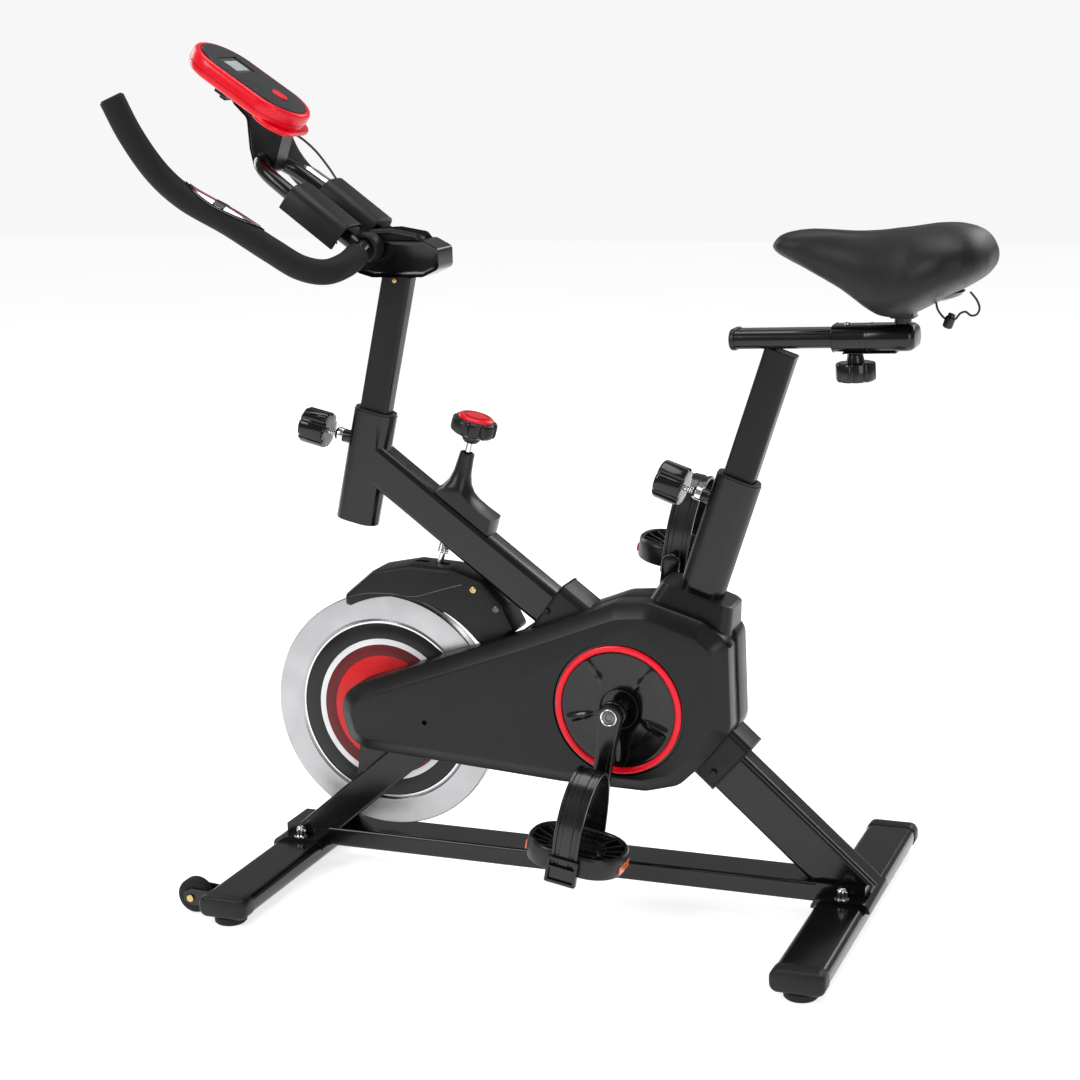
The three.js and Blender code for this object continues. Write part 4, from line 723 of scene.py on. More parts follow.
def make_pedal(side, body, name, node):
    """Oval pedal: deep wall, crowned rim, radial ribs falling to an inner ring, a centre pad, five bars."""
    tip = crank_tip(side)
    centre = tip + Y_AXIS * (side * PEDAL_Y)

    def level(section, inset, z):
        return [centre + X_AXIS * (u - nu * inset) + Y_AXIS * (v - nv * inset) + Z_AXIS * z
                for u, v, nu, nv in section]

    def wall(*levels):
        oval = round_section(PEDAL_LENGTH, PEDAL_WIDTH, 44, 12)
        return skin([level(oval, inset, z) for inset, z in levels], closed=True)

    parts = [wall((3.4, -14), (1.6, -13.6), (0.5, -11), (0, 2), (0, 10), (0.6, 12.4), (2, 13.8), (4, 14),
                  (5.4, 13), (6.2, 11), (6.4, -14)),
             wall((27, -10), (27, 5), (27.8, 6), (29.4, 6), (30, 5), (30, -10)),
             rod(11, centre + Y_AXIS * -47, centre + Y_AXIS * 47, 32, 1.5)]
    for k in range(20):
        a = math.radians(k * 18 + 9)
        out = Vector((math.cos(a), math.sin(a), 0))
        reach = 0.96 / math.hypot(math.cos(a) / (PEDAL_LENGTH / 2), math.sin(a) / (PEDAL_WIDTH / 2))
        across = Z_AXIS.cross(out)
        parts.append(skin([[centre + out * r + across * w + Z_AXIS * z
                            for w, z in ((1.9, -9), (-1.9, -9), (-1.5, top), (1.5, top))]
                           for r, top in ((reach * 0.52, 5.5), (reach, 12.2))]))
    parts.append(wall((6, -12), (6, -4), (28, -6), (28, -12)))
    parts.append(skin([level(round_section(w, h, r, 8), 0, z) for w, h, r, z in (
        (40, 30, 12, -8), (41, 31, 12, 8), (39, 29, 11, 10), (34, 24, 9, 10.4))]))
    for row in range(-2, 3):
        parts.append(upright_box(centre + Y_AXIS * (row * 16) + Z_AXIS * 9.4, 30, 1.7, 2.4))
    ease(piece(name, tilted(joined(*parts), tip), body, TRIM_PLASTIC, node), 0.5, 2)
    for end, tag in ((-1, "front"), (1, "rear")):
        lens = upright_box(centre + X_AXIS * (end * (PEDAL_LENGTH / 2 - 0.8)) + Z_AXIS * -4, 1.2, 17, 5.5)
        ease(piece(name + "_reflector_" + tag, tilted(lens, tip), body, AMBER), 0.8, 3)


def strap_line():
    """Middle line of the strap over the pedal as (across, up), from its inner to its outer side."""
    half = PEDAL_WIDTH / 2
    top = STRAP_TOP + 1.6
    inner = [(-half - 2.6, 12), (-half - 8.6, top - 27.6), (-24, top), (4, top)]
    outer = [(4, top), (32, top), (half, top - 35.6), (half + 2.6, 12)]

    def bezier(corners, n):
        line = []
        for i in range(n + 1):
            t = i / n
            w = ((1 - t) ** 3, 3 * t * (1 - t) ** 2, 3 * t * t * (1 - t), t ** 3)
            line.append(tuple(sum(k * p[j] for k, p in zip(w, corners)) for j in (0, 1)))
        return line

    return [(-half - 2.6, -18)] + bezier(inner, 16)[:-1] + bezier(outer, 16) + [(half + 2.6, -18)]


def make_strap(side, body, name, node):
    """Moulded strap: flat band with two raised rails, cross ribs near the buckle, and the buckle."""
    tip = crank_tip(side)
    centre = tip + Y_AXIS * (side * PEDAL_Y)
    line = strap_line()
    edge = STRAP_WIDTH / 2
    half_section = [(edge - 0.4, -1.6), (edge, -1.2), (edge, 1.2), (edge - 0.8, 2), (edge - 4, 2),
                    (edge - 5, 0.6), (edge - 10, 0.6), (edge - 11, 1.8)]
    section = half_section + [(-w, n) for w, n in reversed(half_section)]
    rings = []
    for here, prev, following in zip(line, line[:1] + line, line[1:] + line[-1:]):
        run = Vector((following[0] - prev[0], following[1] - prev[1])).normalized()
        out = Y_AXIS * -run.y + Z_AXIS * run.x
        rings.append([centre + Y_AXIS * here[0] + Z_AXIS * here[1] + X_AXIS * w + out * n
                      for w, n in section])
    rib_at = centre + Y_AXIS * (side * (PEDAL_WIDTH / 2 + 3.1))
    ribs = [upright_box(rib_at + Z_AXIS * (11 + row * 5), 10.5, 0.9, 1.2) for row in range(5)]
    piece(name, tilted(joined(skin(rings), *ribs), tip), body, STRAP_RUBBER, node)
    mid = centre + Y_AXIS * (side * (PEDAL_WIDTH / 2 + 5)) + Z_AXIS * -8
    half = STRAP_WIDTH / 2 + 1.2
    bars = [upright_box(mid + X_AXIS * dx + Z_AXIS * dz + Y_AXIS * (side * dy), sx, sy, sz)
            for dx, dz, dy, sx, sy, sz in (
                (-half, 0, 0, 1.9, 3.6, 16.5), (half, 0, 0, 1.9, 3.6, 16.5), (0, 15, 0, half, 3.6, 2),
                (0, 4, 0.6, half, 3.2, 1.6), (0, -15, 0, half, 3.6, 2), (0, -6, -1.6, half - 2, 1.6, 8))]
    ease(piece(name + "_buckle", tilted(joined(*bars), tip), body, GLOSS_PLASTIC), 0.6, 2)


# ------------------------------------------------------------- knobs
def lobed(origin, axis, radius, profile, lobes, groove, sides=192):
    """Knob whose rim is scooped between lobes; profile gives (share of radius, height)."""
    axis, u, v = frame_on(axis)
    reach = radius + groove * 0.45
    rings = []
    for share, h in profile:
        ring = []
        for i in range(sides):
            a = 2 * math.pi * i / sides
            pitch = 2 * math.pi / lobes
            off = (a + pitch / 2) % pitch - pitch / 2
            r = radius
            if abs(reach * math.sin(off)) < groove:
                cut = reach * math.cos(off) - math.sqrt(groove ** 2 - (reach * math.sin(off)) ** 2)
                r = min(r, cut)
            r = radius * share if share < 0.72 else r * share
            ring.append(origin + axis * h + (u * math.cos(a) + v * math.sin(a)) * max(r, 0.001))
        rings.append(ring)
    return skin(rings)


def knob_profile(thick):
    return [(0.0001, 0), (0.5, 0), (0.9, 0), (0.97, 0.8), (1, 2.4), (1, thick - 4.5), (0.985, thick - 2.6),
            (0.95, thick - 1), (0.88, thick - 0.1), (0.8, thick), (0.6, thick - 0.6), (0.0001, thick - 0.6)]


def make_clamp_knob(name, node, start, axis, radius):
    knob = lobed(start + axis * 62, axis, radius, knob_profile(36), 6, 4.5)
    piece(name, knob, name, GLOSS_PLASTIC, node)
    hub = [(4, 38.5), (9.4, 38.5, 0.6), (9.4, 46, 1), (7.6, 50, 1), (4, 50)]
    piece(name + "_hub", turned(hub, start, axis, 48), name, CHROME)
    thread = [(3.5 if i % 2 == 0 else 4.0, 24 + i * 1.35) for i in range(28)]
    shank = [(ON_AXIS, 23), (3.6, 23)] + thread + [(4, 63), (ON_AXIS, 63)]
    piece(name + "_spindle", turned(shank, start, axis, 32), name, CHROME)


def make_knobs():
    make_clamp_knob("front_knob", "front_clamp_knob", HEAD_TOP - UP_POST * 43, UP_POST.cross(Y_AXIS), 24)
    make_clamp_knob("rear_knob", "rear_clamp_knob", SEAT_TOP - UP_SEAT * 36, UP_SEAT.cross(Y_AXIS), 25)
    down = -RAIL_UP
    base = RAIL_AT + RAIL * 84 - RAIL_UP * 30
    piece("slide_knob", lobed(base, down, 24, knob_profile(23), 8, 4.2), "slider", GLOSS_PLASTIC,
          "slider_knob")
    neck = [(4, -16), (8, -16, 0.5), (11, -1, 1), (11, 0.5), (4, 0.5)]
    piece("slide_knob_neck", turned(neck, base, down, 48), "slider", GLOSS_PLASTIC)
    base = ROD_TOP + UP_ROD * 30
    grip = [(0.0001, 0), (0.35, 0), (0.86, 1.2), (0.95, 3), (1, 6), (1, 16), (0.985, 19), (0.93, 21),
            (0.84, 22), (0.0001, 22)]
    piece("brake_knob_grip", lobed(base, UP_ROD, 30, grip, 8, 5.6), "brake_knob", TRIM_PLASTIC,
          "resistance_knob")
    cap = [(ON_AXIS, 20), (23.2, 20), (23.2, 24.2, 1), (21, 25.8, 1.5), (12, 26.8, 2), (ON_AXIS, 27)]
    ring = [(15.4, 26.2), (15.4, 27, 0.2), (16.2, 27, 0.2), (16.2, 25.6)]
    collar = [(4.9, -10), (9, -10, 0.8), (12, -6, 1), (12, 0.5), (4.9, 0.5)]
    for name, profile, sides, material in (
            ("cap", cap, 96, RED_PLASTIC), ("ring", ring, 96, TRIM_PLASTIC),
            ("collar", collar, 64, TRIM_PLASTIC)):
        piece("brake_knob_" + name, turned(profile, base, UP_ROD, sides), "brake_knob", material)


# ------------------------------------------------------------- handlebar
ARM = [(-262, -26, 848), (-262, -46, 847), (-266, -92, 831), (-280, -122, 825), (-303, -141, 832),
       (-337, -152, 854), (-388, -160, 887), (-445, -169, 920), (-476, -177, 950), (-503, -190, 997),
       (-521, -201, 1044)]
LOOP_HALF = [(-266, 44, 846), (-290, 44, 863), (-330, 44, 892), (-372, 43, 922), (-401, 36, 943),
             (-417, 16, 955)]
BAR_AT = Vector((-262, 0, 848))
GRIP_END = 0.434


def far_side(points):
    return [(x, -y, z) for x, y, z in points]


def make_handlebar():
    bar = Path(ARM[::-1] + [tuple(BAR_AT)] + far_side(ARM))
    loop = Path(far_side(LOOP_HALF) + LOOP_HALF[::-1])
    both = joined(tube(bar, 12.5, 0.012, 0.988, 160, 32), tube(loop, 10, 0, 1, 96, 32, Y_AXIS))
    piece("bar_and_loop", both, "bar", GLOSS_PAINT, "handlebar")
    radius = tapered_ends(16, GRIP_END * bar.lengths[-1], 3)
    for side, name, start in ((-1, "left", 0), (1, "right", 1 - GRIP_END)):
        grip = tube(bar, radius, start, start + GRIP_END, 150, 40)
        piece("grip_foam_" + name, grip, "bar", FOAM, "grip_" + name)
        make_pulse_plate(bar, side, name)


def shell_on_bar(bar, side, start, end, radius, half_angle, thick, count=40, across=16, pointed=True):
    """Shell on the inner upper side of the bar, its ends square or narrowed to rounded points."""
    keep = (Z_AXIS + Vector((0, -side, 0)) * 0.35).normalized()
    rings = []
    for i in range(count + 1):
        t = i / count
        f = start + (end - start) * t
        heading = bar.heading(f)
        u = heading.cross(keep).normalized()
        v = u.cross(heading)
        spread = half_angle
        if pointed:
            spread *= math.sin(math.pi * t) ** 0.5 if 0 < t < 1 else 0.02
        turns = [spread * (2 * k / across - 1) for k in range(across + 1)]
        rings.append([bar.at(f) + (v * math.cos(a) + u * math.sin(a)) * r
                      for r, row in ((radius, turns), (radius - thick, turns[::-1])) for a in row])
    return skin(rings)


def make_pulse_plate(bar, side, name):
    start, end = (0.15, 0.262) if side < 0 else (0.738, 0.85)
    wide = math.radians(62)
    middle = (start + end) / 2
    surround = shell_on_bar(bar, side, start - 0.006, end + 0.006, 17.4, wide * 1.12, 1.6)
    piece("pulse_surround_" + name, surround, "bar", GLOSS_PLASTIC, slot="black_plastic")
    piece("pulse_metal_" + name, shell_on_bar(bar, side, start, end, 18.6, wide, 1.2), "bar", CHROME,
          "pulse_plate_" + name)
    bridge = shell_on_bar(bar, side, middle - 0.008, middle + 0.008, 19.3, wide * 0.96, 1.6, 6, 20, False)
    piece("pulse_bridge_" + name, bridge, "bar", TRIM_PLASTIC)


def make_armrest(side, name, node):
    """Upside-down channel with two webs inside and slightly narrowed ends."""
    lift = Vector((0.598, 0, 0.801))
    a = Vector((-355, side * 46, 913))
    b = Vector((-284, side * 46, 860))
    heading = (b - a).normalized()
    length = (b - a).length
    outer = []
    for turn in (math.pi * i / 32 for i in range(33)):
        outer.append((31 * math.copysign(abs(math.cos(turn)) ** 0.55, math.cos(turn)),
                      -15 + 36 * max(0, math.sin(turn)) ** 0.5))
    section = outer + [(x * 0.905, -15 + (z + 15) * 0.895) for x, z in reversed(outer)]
    shell = skin([[a + heading * s + Y_AXIS * (x * k) + lift * (z * k) for x, z in section] for s, k in (
        (0, 0.97), (0.8, 0.99), (2, 1), (length - 2, 1), (length - 0.8, 0.99), (length, 0.97))])
    webs = [box(a + heading * s + lift * 13, Y_AXIS, heading, lift, 5, 3, 6) for s in (14, length - 14)]
    ease(piece("armrest_shell_" + name, joined(shell, *webs), "bar", MATT_PLASTIC, node), 0.6, 2)
    clip = turned([(10.2, -3), (12, -3, 0.5), (12, 3, 0.5), (10.2, 3)], Vector((-352, side * 44, 907)),
                  heading, 48)
    piece("loop_clip_" + name, clip, "bar", CHROME)
    screw = turned([(ON_AXIS, 0), (4, 0), (4, 1.4, 0.5), (ON_AXIS, 2)], Vector((-290, side * 72, 857)),
                   Vector((0.3, side, -0.5)), 24)
    piece("armrest_screw_" + name, screw, "bar", CHROME)


# ------------------------------------------------------------- console
def on_face(u, h=0):
    """Point of the console's middle plane: u along its face, h above its centre."""
    return CONSOLE_AT + FACE_LONG * u + FACE_UP * h


def stack(size, levels, u=0, steps=14, closed=False):
    """Rounded rectangles of a size (length, width, corner), grown by d at height h on the console."""
    length, width, r = size
    return skin([[on_face(u + a, h) + Y_AXIS * b
                  for a, b, _, _ in round_section(length + 2 * d, width + 2 * d, max(r + d, 1), steps)]
                 for d, h in levels], closed=closed)


def make_console():
    whole, face = (176, 106, 52), (159.4, 87.4, 43.2)
    shell = stack(whole, [(-9, -14), (-6, -14), (-3.2, -12.8), (-1.4, -10.6), (-0.6, -7), (0, -2), (0, 5),
                          (-0.5, 8), (-1.8, 10.6), (-3.8, 11.9), (-6, 12), (-7.2, 11.6), (-7.8, 10.6),
                          (-7.8, 9.5), (-12, 9.4)])
    lip = stack((60, 96, 28), [(-3, -18), (-1, -17.4), (0, -16), (0, -12.6), (-1, -11.2)], 60)
    seam = stack(whole, [(-1.6, -4.6), (0.15, -4.3), (0.15, -3.9), (-1.6, -3.6)])
    window = stack((34.6, 44.6, 1.6), [(0, 11.4), (0, 12)], -30, 4)
    screen = stack((22, 33, 1), [(0, 12), (0, 12.25)], -29, 3)
    key = stack((23, 15, 7.4), [(0, 6.5), (0, 14.2), (-0.5, 15.2), (-1.6, 15.8), (-3.4, 16), (-5, 15.8)],
                42, 10)
    rim = stack((25, 17, 8.4), [(1.2, 13.3), (1.2, 13.9), (0.6, 14.2), (0.2, 13.9), (0, 13.3)], 42, 10, True)
    piece("console_shell", shell, "bar", RED_PLASTIC, "console_body")
    piece("console_lip", lip, "bar", RED_PLASTIC)
    piece("console_seam", seam, "bar", RED_DEEP, slot="red_gloss_plastic")
    panel = make_object("console_face", *stack(face, [(0, 9.7), (0, 12.4), (-0.5, 13.2), (-1.4, 13.5)]))
    cut_with(panel, box(on_face(-30, 14), FACE_LONG, Y_AXIS, FACE_UP, 18, 23, 2.4))
    ease(place(panel, "bar", GREY_PANEL, "console_panel"), 0.35, 2)
    piece("console_window", window, "bar", WINDOW)
    piece("console_display", screen, "bar", SCREEN)
    piece("console_key", key, "button", RED_PLASTIC, "console_button")
    piece("console_key_rim", rim, "bar", TRIM_PLASTIC, slot="grey_plastic")
    latch = joined(box(on_face(-22, -20), FACE_LONG, Y_AXIS, FACE_UP, 9, 24, 6),
                   box(on_face(-19, -27), FACE_LONG, Y_AXIS, FACE_UP, 5, 17, 4))
    ease(piece("console_latch", latch, "bar", TRIM_PLASTIC), 1.5, 3)


def make_neck():
    outline = [(-462, 1050, 6), (-450, 1030, 10), (-432, 1012, 16), (-430, 972, 12), (-425, 948, 10),
               (-405, 944, 10), (-394, 974, 12), (-386, 998, 3)]
    body = make_object("console_neck_block", *plate(outline, -15, 15, 4, 6))
    cut_with(body, box(on_face(0, -14.3 + 60), FACE_LONG, Y_AXIS, FACE_UP, 140, 100, 60))
    place(body, "bar", TRIM_PLASTIC, "console_neck")
    screws = [rod(3, Vector((-416, y - 0.8, 962)), Vector((-416, y + 0.8, 962)), 24, 0.4)
              for y in (-15.4, 15.4)]
    piece("neck_screws", joined(*screws), "bar", CHROME)


# ------------------------------------------------------------- stem and clamp
def post_tube(top, up, reach):
    return prism(round_section(42, 26, 6, 6), top - up * 105, top + up * reach)


def make_stem():
    piece("post_tube", post_tube(HEAD_TOP, UP_POST, 186), "bar", SATIN_PAINT, "handlebar_post")
    outline = [(-276.5, 819, 8), (-262, 815, 12), (-194, 816, 16), (-176.5, 824, 13), (-176.5, 841, 12),
               (-192, 849, 12), (-276.5, 849, 4)]
    piece("post_stem", plate(outline, -23, 23, 7, 8), "bar", GLOSS_PAINT)
    rivet = [(ON_AXIS, 0), (3.2, 0), (3.2, 0.8, 0.3), (1.6, 1.2), (1.2, 0.6), (ON_AXIS, 0.6)]
    at = HEAD_TOP + UP_POST * 178 + Y_AXIS * -13
    piece("post_rivet", turned(rivet, at, -Y_AXIS, 32), "bar", BRASS)


def make_clamp_cover():
    outline = [(-282, 849.6, 2), (-283, 858, 8), (-268, 868.5, 10), (-236, 870, 14), (-200, 864, 8),
               (-188, 849.6, 3)]
    piece("clamp_tongue", plate(outline, -21, 21, 5, 6), "bar", MATT_PLASTIC, "clamp_cover")
    width = 23.4
    band = [(13.4, 0), (18.2, 0, 1.4), (19.2, width / 2, 6), (18.2, width, 1.4), (13.4, width)]
    for name, y in (("near", -47), ("far", 23.6)):
        piece("clamp_band_" + name, turned(band, BAR_AT + Y_AXIS * y, Y_AXIS, 64), "bar", MATT_PLASTIC)


# ------------------------------------------------------------- casing
CASE = [(-323, 232, 34), (-317, 256, 30), (-298, 271, 40), (-62, 357, 60), (66, 407, 40), (112, 411, 40),
        (182, 390, 26), (214, 366, 24), (217, 250, 30), (180, 204, 30), (148, 173, 34), (104, 161, 34),
        (-12, 163, 40), (-290, 181, 40), (-313, 194, 26)]
CASE_REAR = [(-72, 168, 6), (-72, 354, 6), (66, 408, 40), (112, 412, 40), (184, 396, 26), (216, 372, 24),
             (219, 250, 30), (182, 204, 30), (150, 173, 34), (105, 161, 34), (-12, 163, 40)]


def bevel_stations(face, back, bevel):
    """Stations (y, inset) from a bevelled face to the seam, every edge slightly eased."""
    d = 1 if back > face else -1
    return [(face, bevel + 3.4), (face + d * 0.3, bevel + 1.9), (face + d * 1.1, bevel + 0.3),
            (face + d * 12.6, 1.5), (face + d * 14, 0.4), (face + d * 15.4, 0),
            (back - d * 1, 0), (back - d * 0.3, 0.3), (back, 1.1)]


def leave_post_room(obj):
    """Shaft inside the seat tube for the seat post to sink into."""
    cut_with(obj, box(SEAT_TOP - UP_SEAT * 157, Y_AXIS.cross(UP_SEAT), Y_AXIS, UP_SEAT, 22.5, 14.5, 58))


def make_casing():
    near = make_object("case_near", *staged_plate(CASE, bevel_stations(CASE_NEAR, CASE_SEAM - 0.4, 17)))
    cut_round(near, CRANK.x, CRANK.z, -100, -40, 87.6)
    for x, z, r in ((-196, 230, 3.6), (-33, 384, 3), (196, 196, 3)):
        cut_round(near, x, z, -100, -30, r, 32)
    leave_post_room(near)
    place(near, "frame", CASE_PLASTIC, "casing_left")
    # Painted shade: dark discs behind the crank opening and at the bottom of the screw holes.
    hole_shade_discs = [prism(circle_section(r, sides), at + Y_AXIS * low, at + Y_AXIS * high, Z_AXIS, 0)
              for at, r, sides, low, high in (
                  (CRANK, 87.4, 96, -52, -45), (Vector((-196, 0, 230)), 3.5, 24, -56, -54),
                  (Vector((196, 0, 196)), 2.9, 24, -56, -54))]
    piece("case_hole_shade", joined(*hole_shade_discs), "frame", HOLE_SHADE, slot="black_plastic")
    far = make_object("case_far", *staged_plate(CASE_REAR, bevel_stations(CASE_FAR, CASE_SEAM, 15)))
    cut_round(far, CRANK.x, CRANK.z, 20, 60, 20)
    leave_post_room(far)
    place(far, "frame", CASE_PLASTIC, "casing_right")
    for name, centre, along, start, end, height, width, lift in (
            ("collar_front", Vector((64, 0, 306.5)), DOWN_TUBE, -128, -20, 90, 64, 0),
            ("collar_rear", Vector((112, 0, 270.4)), REAR_LEG, 30, 126, 84, 62, 8)):
        base = centre + along.cross(Y_AXIS) * lift
        section = round_section(height, width, 12, 6)
        sleeve = prism(section, base + along * start, base + along * end, edge=2.2)
        piece(name, sleeve, "frame", CASE_PLASTIC)
    make_seat_collar()
    # The screw heads take the painted hole shade instead of a steel colour.
    head = [(ON_AXIS, 0), (4.2, 0), (4.2, 1.2, 0.5), (2.2, 1.6), (1.6, 0.8), (ON_AXIS, 0.8)]
    for index, at in enumerate(((-32.4, -32.2, 384.1), (188.3, -31.2, 188.6), (214, -42, 362))):
        piece(f"case_screw_{index}", turned(head, Vector(at), -Y_AXIS, 28), "frame", HOLE_SHADE,
              slot="steel")


def make_seat_collar():
    base = SEAT_TOP - UP_SEAT * 196
    x = Y_AXIS.cross(UP_SEAT)
    rubber = make_object("collar_seat", *skin([
        [base + UP_SEAT * s + x * (u * k) + Y_AXIS * (v * k) for u, v, _, _ in round_section(120, 78, 18, 8)]
        for s, k in ((0, 1.0), (30, 0.87), (41, 0.82), (43.2, 0.81), (44, 0.79), (44, 0.7))]))
    leave_post_room(rubber)
    place(rubber, "frame", CASE_PLASTIC, "seat_collar")


# ------------------------------------------------------------- brake
def make_brake_cover():
    outline = [(-322, 372, 4), (-322, 386, 8), (-279, 422, 20), (-225, 433, 24), (-170, 430, 24),
               (-126, 414, 20), (-96, 384, 12), (-80, 352, 6), (-112, 328, 6)]
    stations = [(-27, 6), (-26.2, 3.4), (-24, 1.2), (-21, 0), (21, 0), (24, 1.2), (26.2, 3.4), (27, 6)]
    cover = make_object("brake_hood", *staged_plate(outline, stations))
    cut_round(cover, -245, 240, -60, 60, 148.5, 128)
    cut_round(cover, WHEEL.x, WHEEL.z, -14, 14, 165, 128)
    for x in (-218, -189):
        cut_with(cover, upright_box(Vector((x, 0, 434)), 10, 5, 9))
    place(cover, "frame", MATT_PLASTIC, "brake_cover")
    trim = Path([(x, -27.1, z) for x, z in (
        (-313, 384), (-290, 390), (-250, 392), (-222, 390), (-190, 399), (-165, 407), (-150, 411))])
    piece("hood_line", tube(trim, 0.7, 0, 1, 60, 8, Y_AXIS), "frame", GLOSS_PLASTIC, slot="black_plastic")
    head = [(ON_AXIS, 0), (4.4, 0), (4.4, 1.2, 0.5), (2.4, 1.8), (1.8, 0.9), (ON_AXIS, 0.9)]
    for index, (x, z, metal) in enumerate(((-135.2, 405.1, BRASS), (-104, 381, DARK_STEEL))):
        piece(f"hood_screw_{index}", turned(head, Vector((x, -27, z)), -Y_AXIS, 28), "frame", metal)


def make_brake_parts():
    def at(s):
        return ROD_TOP + UP_ROD * s

    stop = turned([(4.6, -120), (8, -120, 0.8), (8, -112, 0.8), (4.6, -112)], ROD_TOP, UP_ROD, 6)
    piece("push_rod", joined(rod(4.5, at(-176), at(52)), stop), "brake", CHROME, "brake_rod")
    _, u, v = frame_on(UP_ROD)
    turns, start, end, steps = 7, -118, -134, 24
    coil = []
    for i in range(turns * steps + 1):
        a = 2 * math.pi * i / steps
        height = start + (end - start) * i / (turns * steps)
        coil.append(at(height) + (u * math.cos(a) + v * math.sin(a)) * 7)
    piece("return_spring", tube(Path(coil, 2), 0.9, 0, 1, 500, 8, UP_ROD), "brake", CHROME)
    flare = [(7, 6), (9.4, 5), (10, 3), (10, 0), (10.6, -8), (12, -22), (15.5, -35), (22, -46), (31, -54),
             (44, -60), (62, -66), (62, -92), (7, -92)]
    boot = make_object("rod_bellows", *turned(flare, ROD_TOP, UP_ROD, 96))
    for y in (-60, 60):
        cut_with(boot, upright_box(Vector((-130, y, 520)), 200, 41.6, 200))
    normal = DOWN_TUBE.cross(Y_AXIS)
    mid = Vector((-283, 0, 568)) + DOWN_TUBE * 190
    cut_with(boot, box(mid - normal * 74, DOWN_TUBE, Y_AXIS, normal, 400, 120, 100.4))
    place(boot, "frame", TRIM_PLASTIC, "rod_boot")


# ------------------------------------------------------------- feet and nuts
def make_base_details():
    washer = [(ON_AXIS, -1), (9.6, -1), (9.6, 1.8, 0.5), (6, 2.2), (ON_AXIS, 2.2)]
    hexagon = [(6.9, 2), (6.9, 9.6), (5.2, 10.4), (5, 2)]
    dome = [(ON_AXIS, 9.4), (6.1, 9.4), (6, 11.6, 1.5), (4, 14.2, 2), (ON_AXIS, 15.2)]
    feet = (("front", -397), ("rear", 357.5))
    for end, x in feet:
        for side, tag, _ in SIDES:
            at = Vector((x, side * 41, 43.5))
            nut = [turned(profile, at, Z_AXIS, sides) for profile, sides in (
                (washer, 48), (hexagon, 6), (dome, 48))]
            piece(f"nut_{end}_{tag}", joined(*nut), "frame", CHROME)
    for end, x in feet:
        for side, _, tag in SIDES:
            make_end_cap(x, side, f"cap_{end}_{tag}", f"{end}_cap_{tag}")
    for side, tag, node in SIDES:
        make_castor(side, "castor_" + tag, node)


def make_end_cap(x, side, name, node):
    stations = [(0, 1.6), (0.4, 0.4), (1.2, 0), (20.4, 0), (22.8, 0.8), (24.6, 2.4), (25.6, 4.6)]
    cap = prism(round_section(68, 29, 11, 8), Vector((x, side * 242.4, 25.5)), Vector((x, side * 268, 25.5)),
                Z_AXIS, stations=stations)
    piece(name, cap, "frame", MATT_PLASTIC, node)
    foot = [(ON_AXIS, 0), (18.5, 0, 1), (21, 2.5, 1.5), (21, 9, 2), (17, 13), (ON_AXIS, 13)]
    piece(name + "_foot", turned(foot, Vector((x, side * 244, 0)), Z_AXIS), "frame", RUBBER)


def make_castor(side, body, tag):
    at = Vector((-457, side * 226, 23))
    tyre = [(5, -10.4), (16, -11, 1), (20.5, -9.4, 2.5), (23, -6, 2.5), (23, 6, 2.5), (20.5, 9.4, 2.5),
            (16, 11, 1), (5, 10.4)]
    axle = [(ON_AXIS, -17.4), (4.9, -17.4, 0.8), (4.9, 17.4, 0.8), (ON_AXIS, 17.4)]
    piece("castor_tyre_" + tag, turned(tyre, at, Y_AXIS), body, RUBBER, "transport_wheel_" + tag)
    piece("castor_axle_" + tag, turned(axle, at, Y_AXIS, 32), body, BRASS)


# ------------------------------------------------------------- seat
def on_rail(s, h=0.0, y=0.0):
    return RAIL_AT + RAIL * s + RAIL_UP * h + Y_AXIS * y


def along_rail(w, h, start, end, edge=0.8, stations=None):
    """Length of oblong tube round the rail's axis."""
    return prism(round_section(w, h, h / 2, 12), on_rail(start), on_rail(end), Y_AXIS, edge, stations)


def make_seat_rail():
    piece("seat_post_tube", post_tube(SEAT_TOP, UP_SEAT, 170), "seat_mast", SATIN_PAINT, "seat_post")
    piece("seat_rail", along_rail(25, 46, -62, 120), "seat_mast", GLOSS_PAINT)
    cap = [(0, 3), (0.5, 1.4), (1.6, 0.4), (3.4, 0), (6.6, 0), (7, 0.4)]
    piece("rail_end_cap", along_rail(26.5, 47.5, -67, -60, stations=cap), "seat_mast", TRIM_PLASTIC)


def make_carriage():
    tail = [(0, 1), (0.6, 0.2), (1.4, 0), (50, 0), (54, 0.8), (57.4, 2.6), (59.4, 5), (60, 8)]
    sleeve = joined(along_rail(32.2, 53.2, 100, 160, stations=tail), along_rail(33.8, 54.8, 60, 104, 0.9))
    foot, top = Vector((419, 0, 768)), Vector((419, 0, 777))
    pillar = joined(rod(10.6, on_rail(142, 13.4), top, 48, 0.5),
                    prism(round_section(30, 34, 6, 5), foot, top + Z_AXIS * 0.4, Y_AXIS, 1))
    under = prism(round_section(3, 34, 1.4, 3), on_rail(72, -17.4), on_rail(136, -17.4))
    piece("slide_sleeve", sleeve, "carriage", GLOSS_PAINT, "seat_carriage")
    piece("saddle_pillar", pillar, "carriage", GLOSS_PAINT)
    piece("slide_plate", under, "carriage", GLOSS_PAINT)
    screw = [(ON_AXIS, 0), (5, 0), (5, 1.6, 0.6), (ON_AXIS, 2.6)]
    piece("slide_screw", turned(screw, on_rail(76, 16.6, -6), RAIL_UP, 32), "carriage", CHROME)


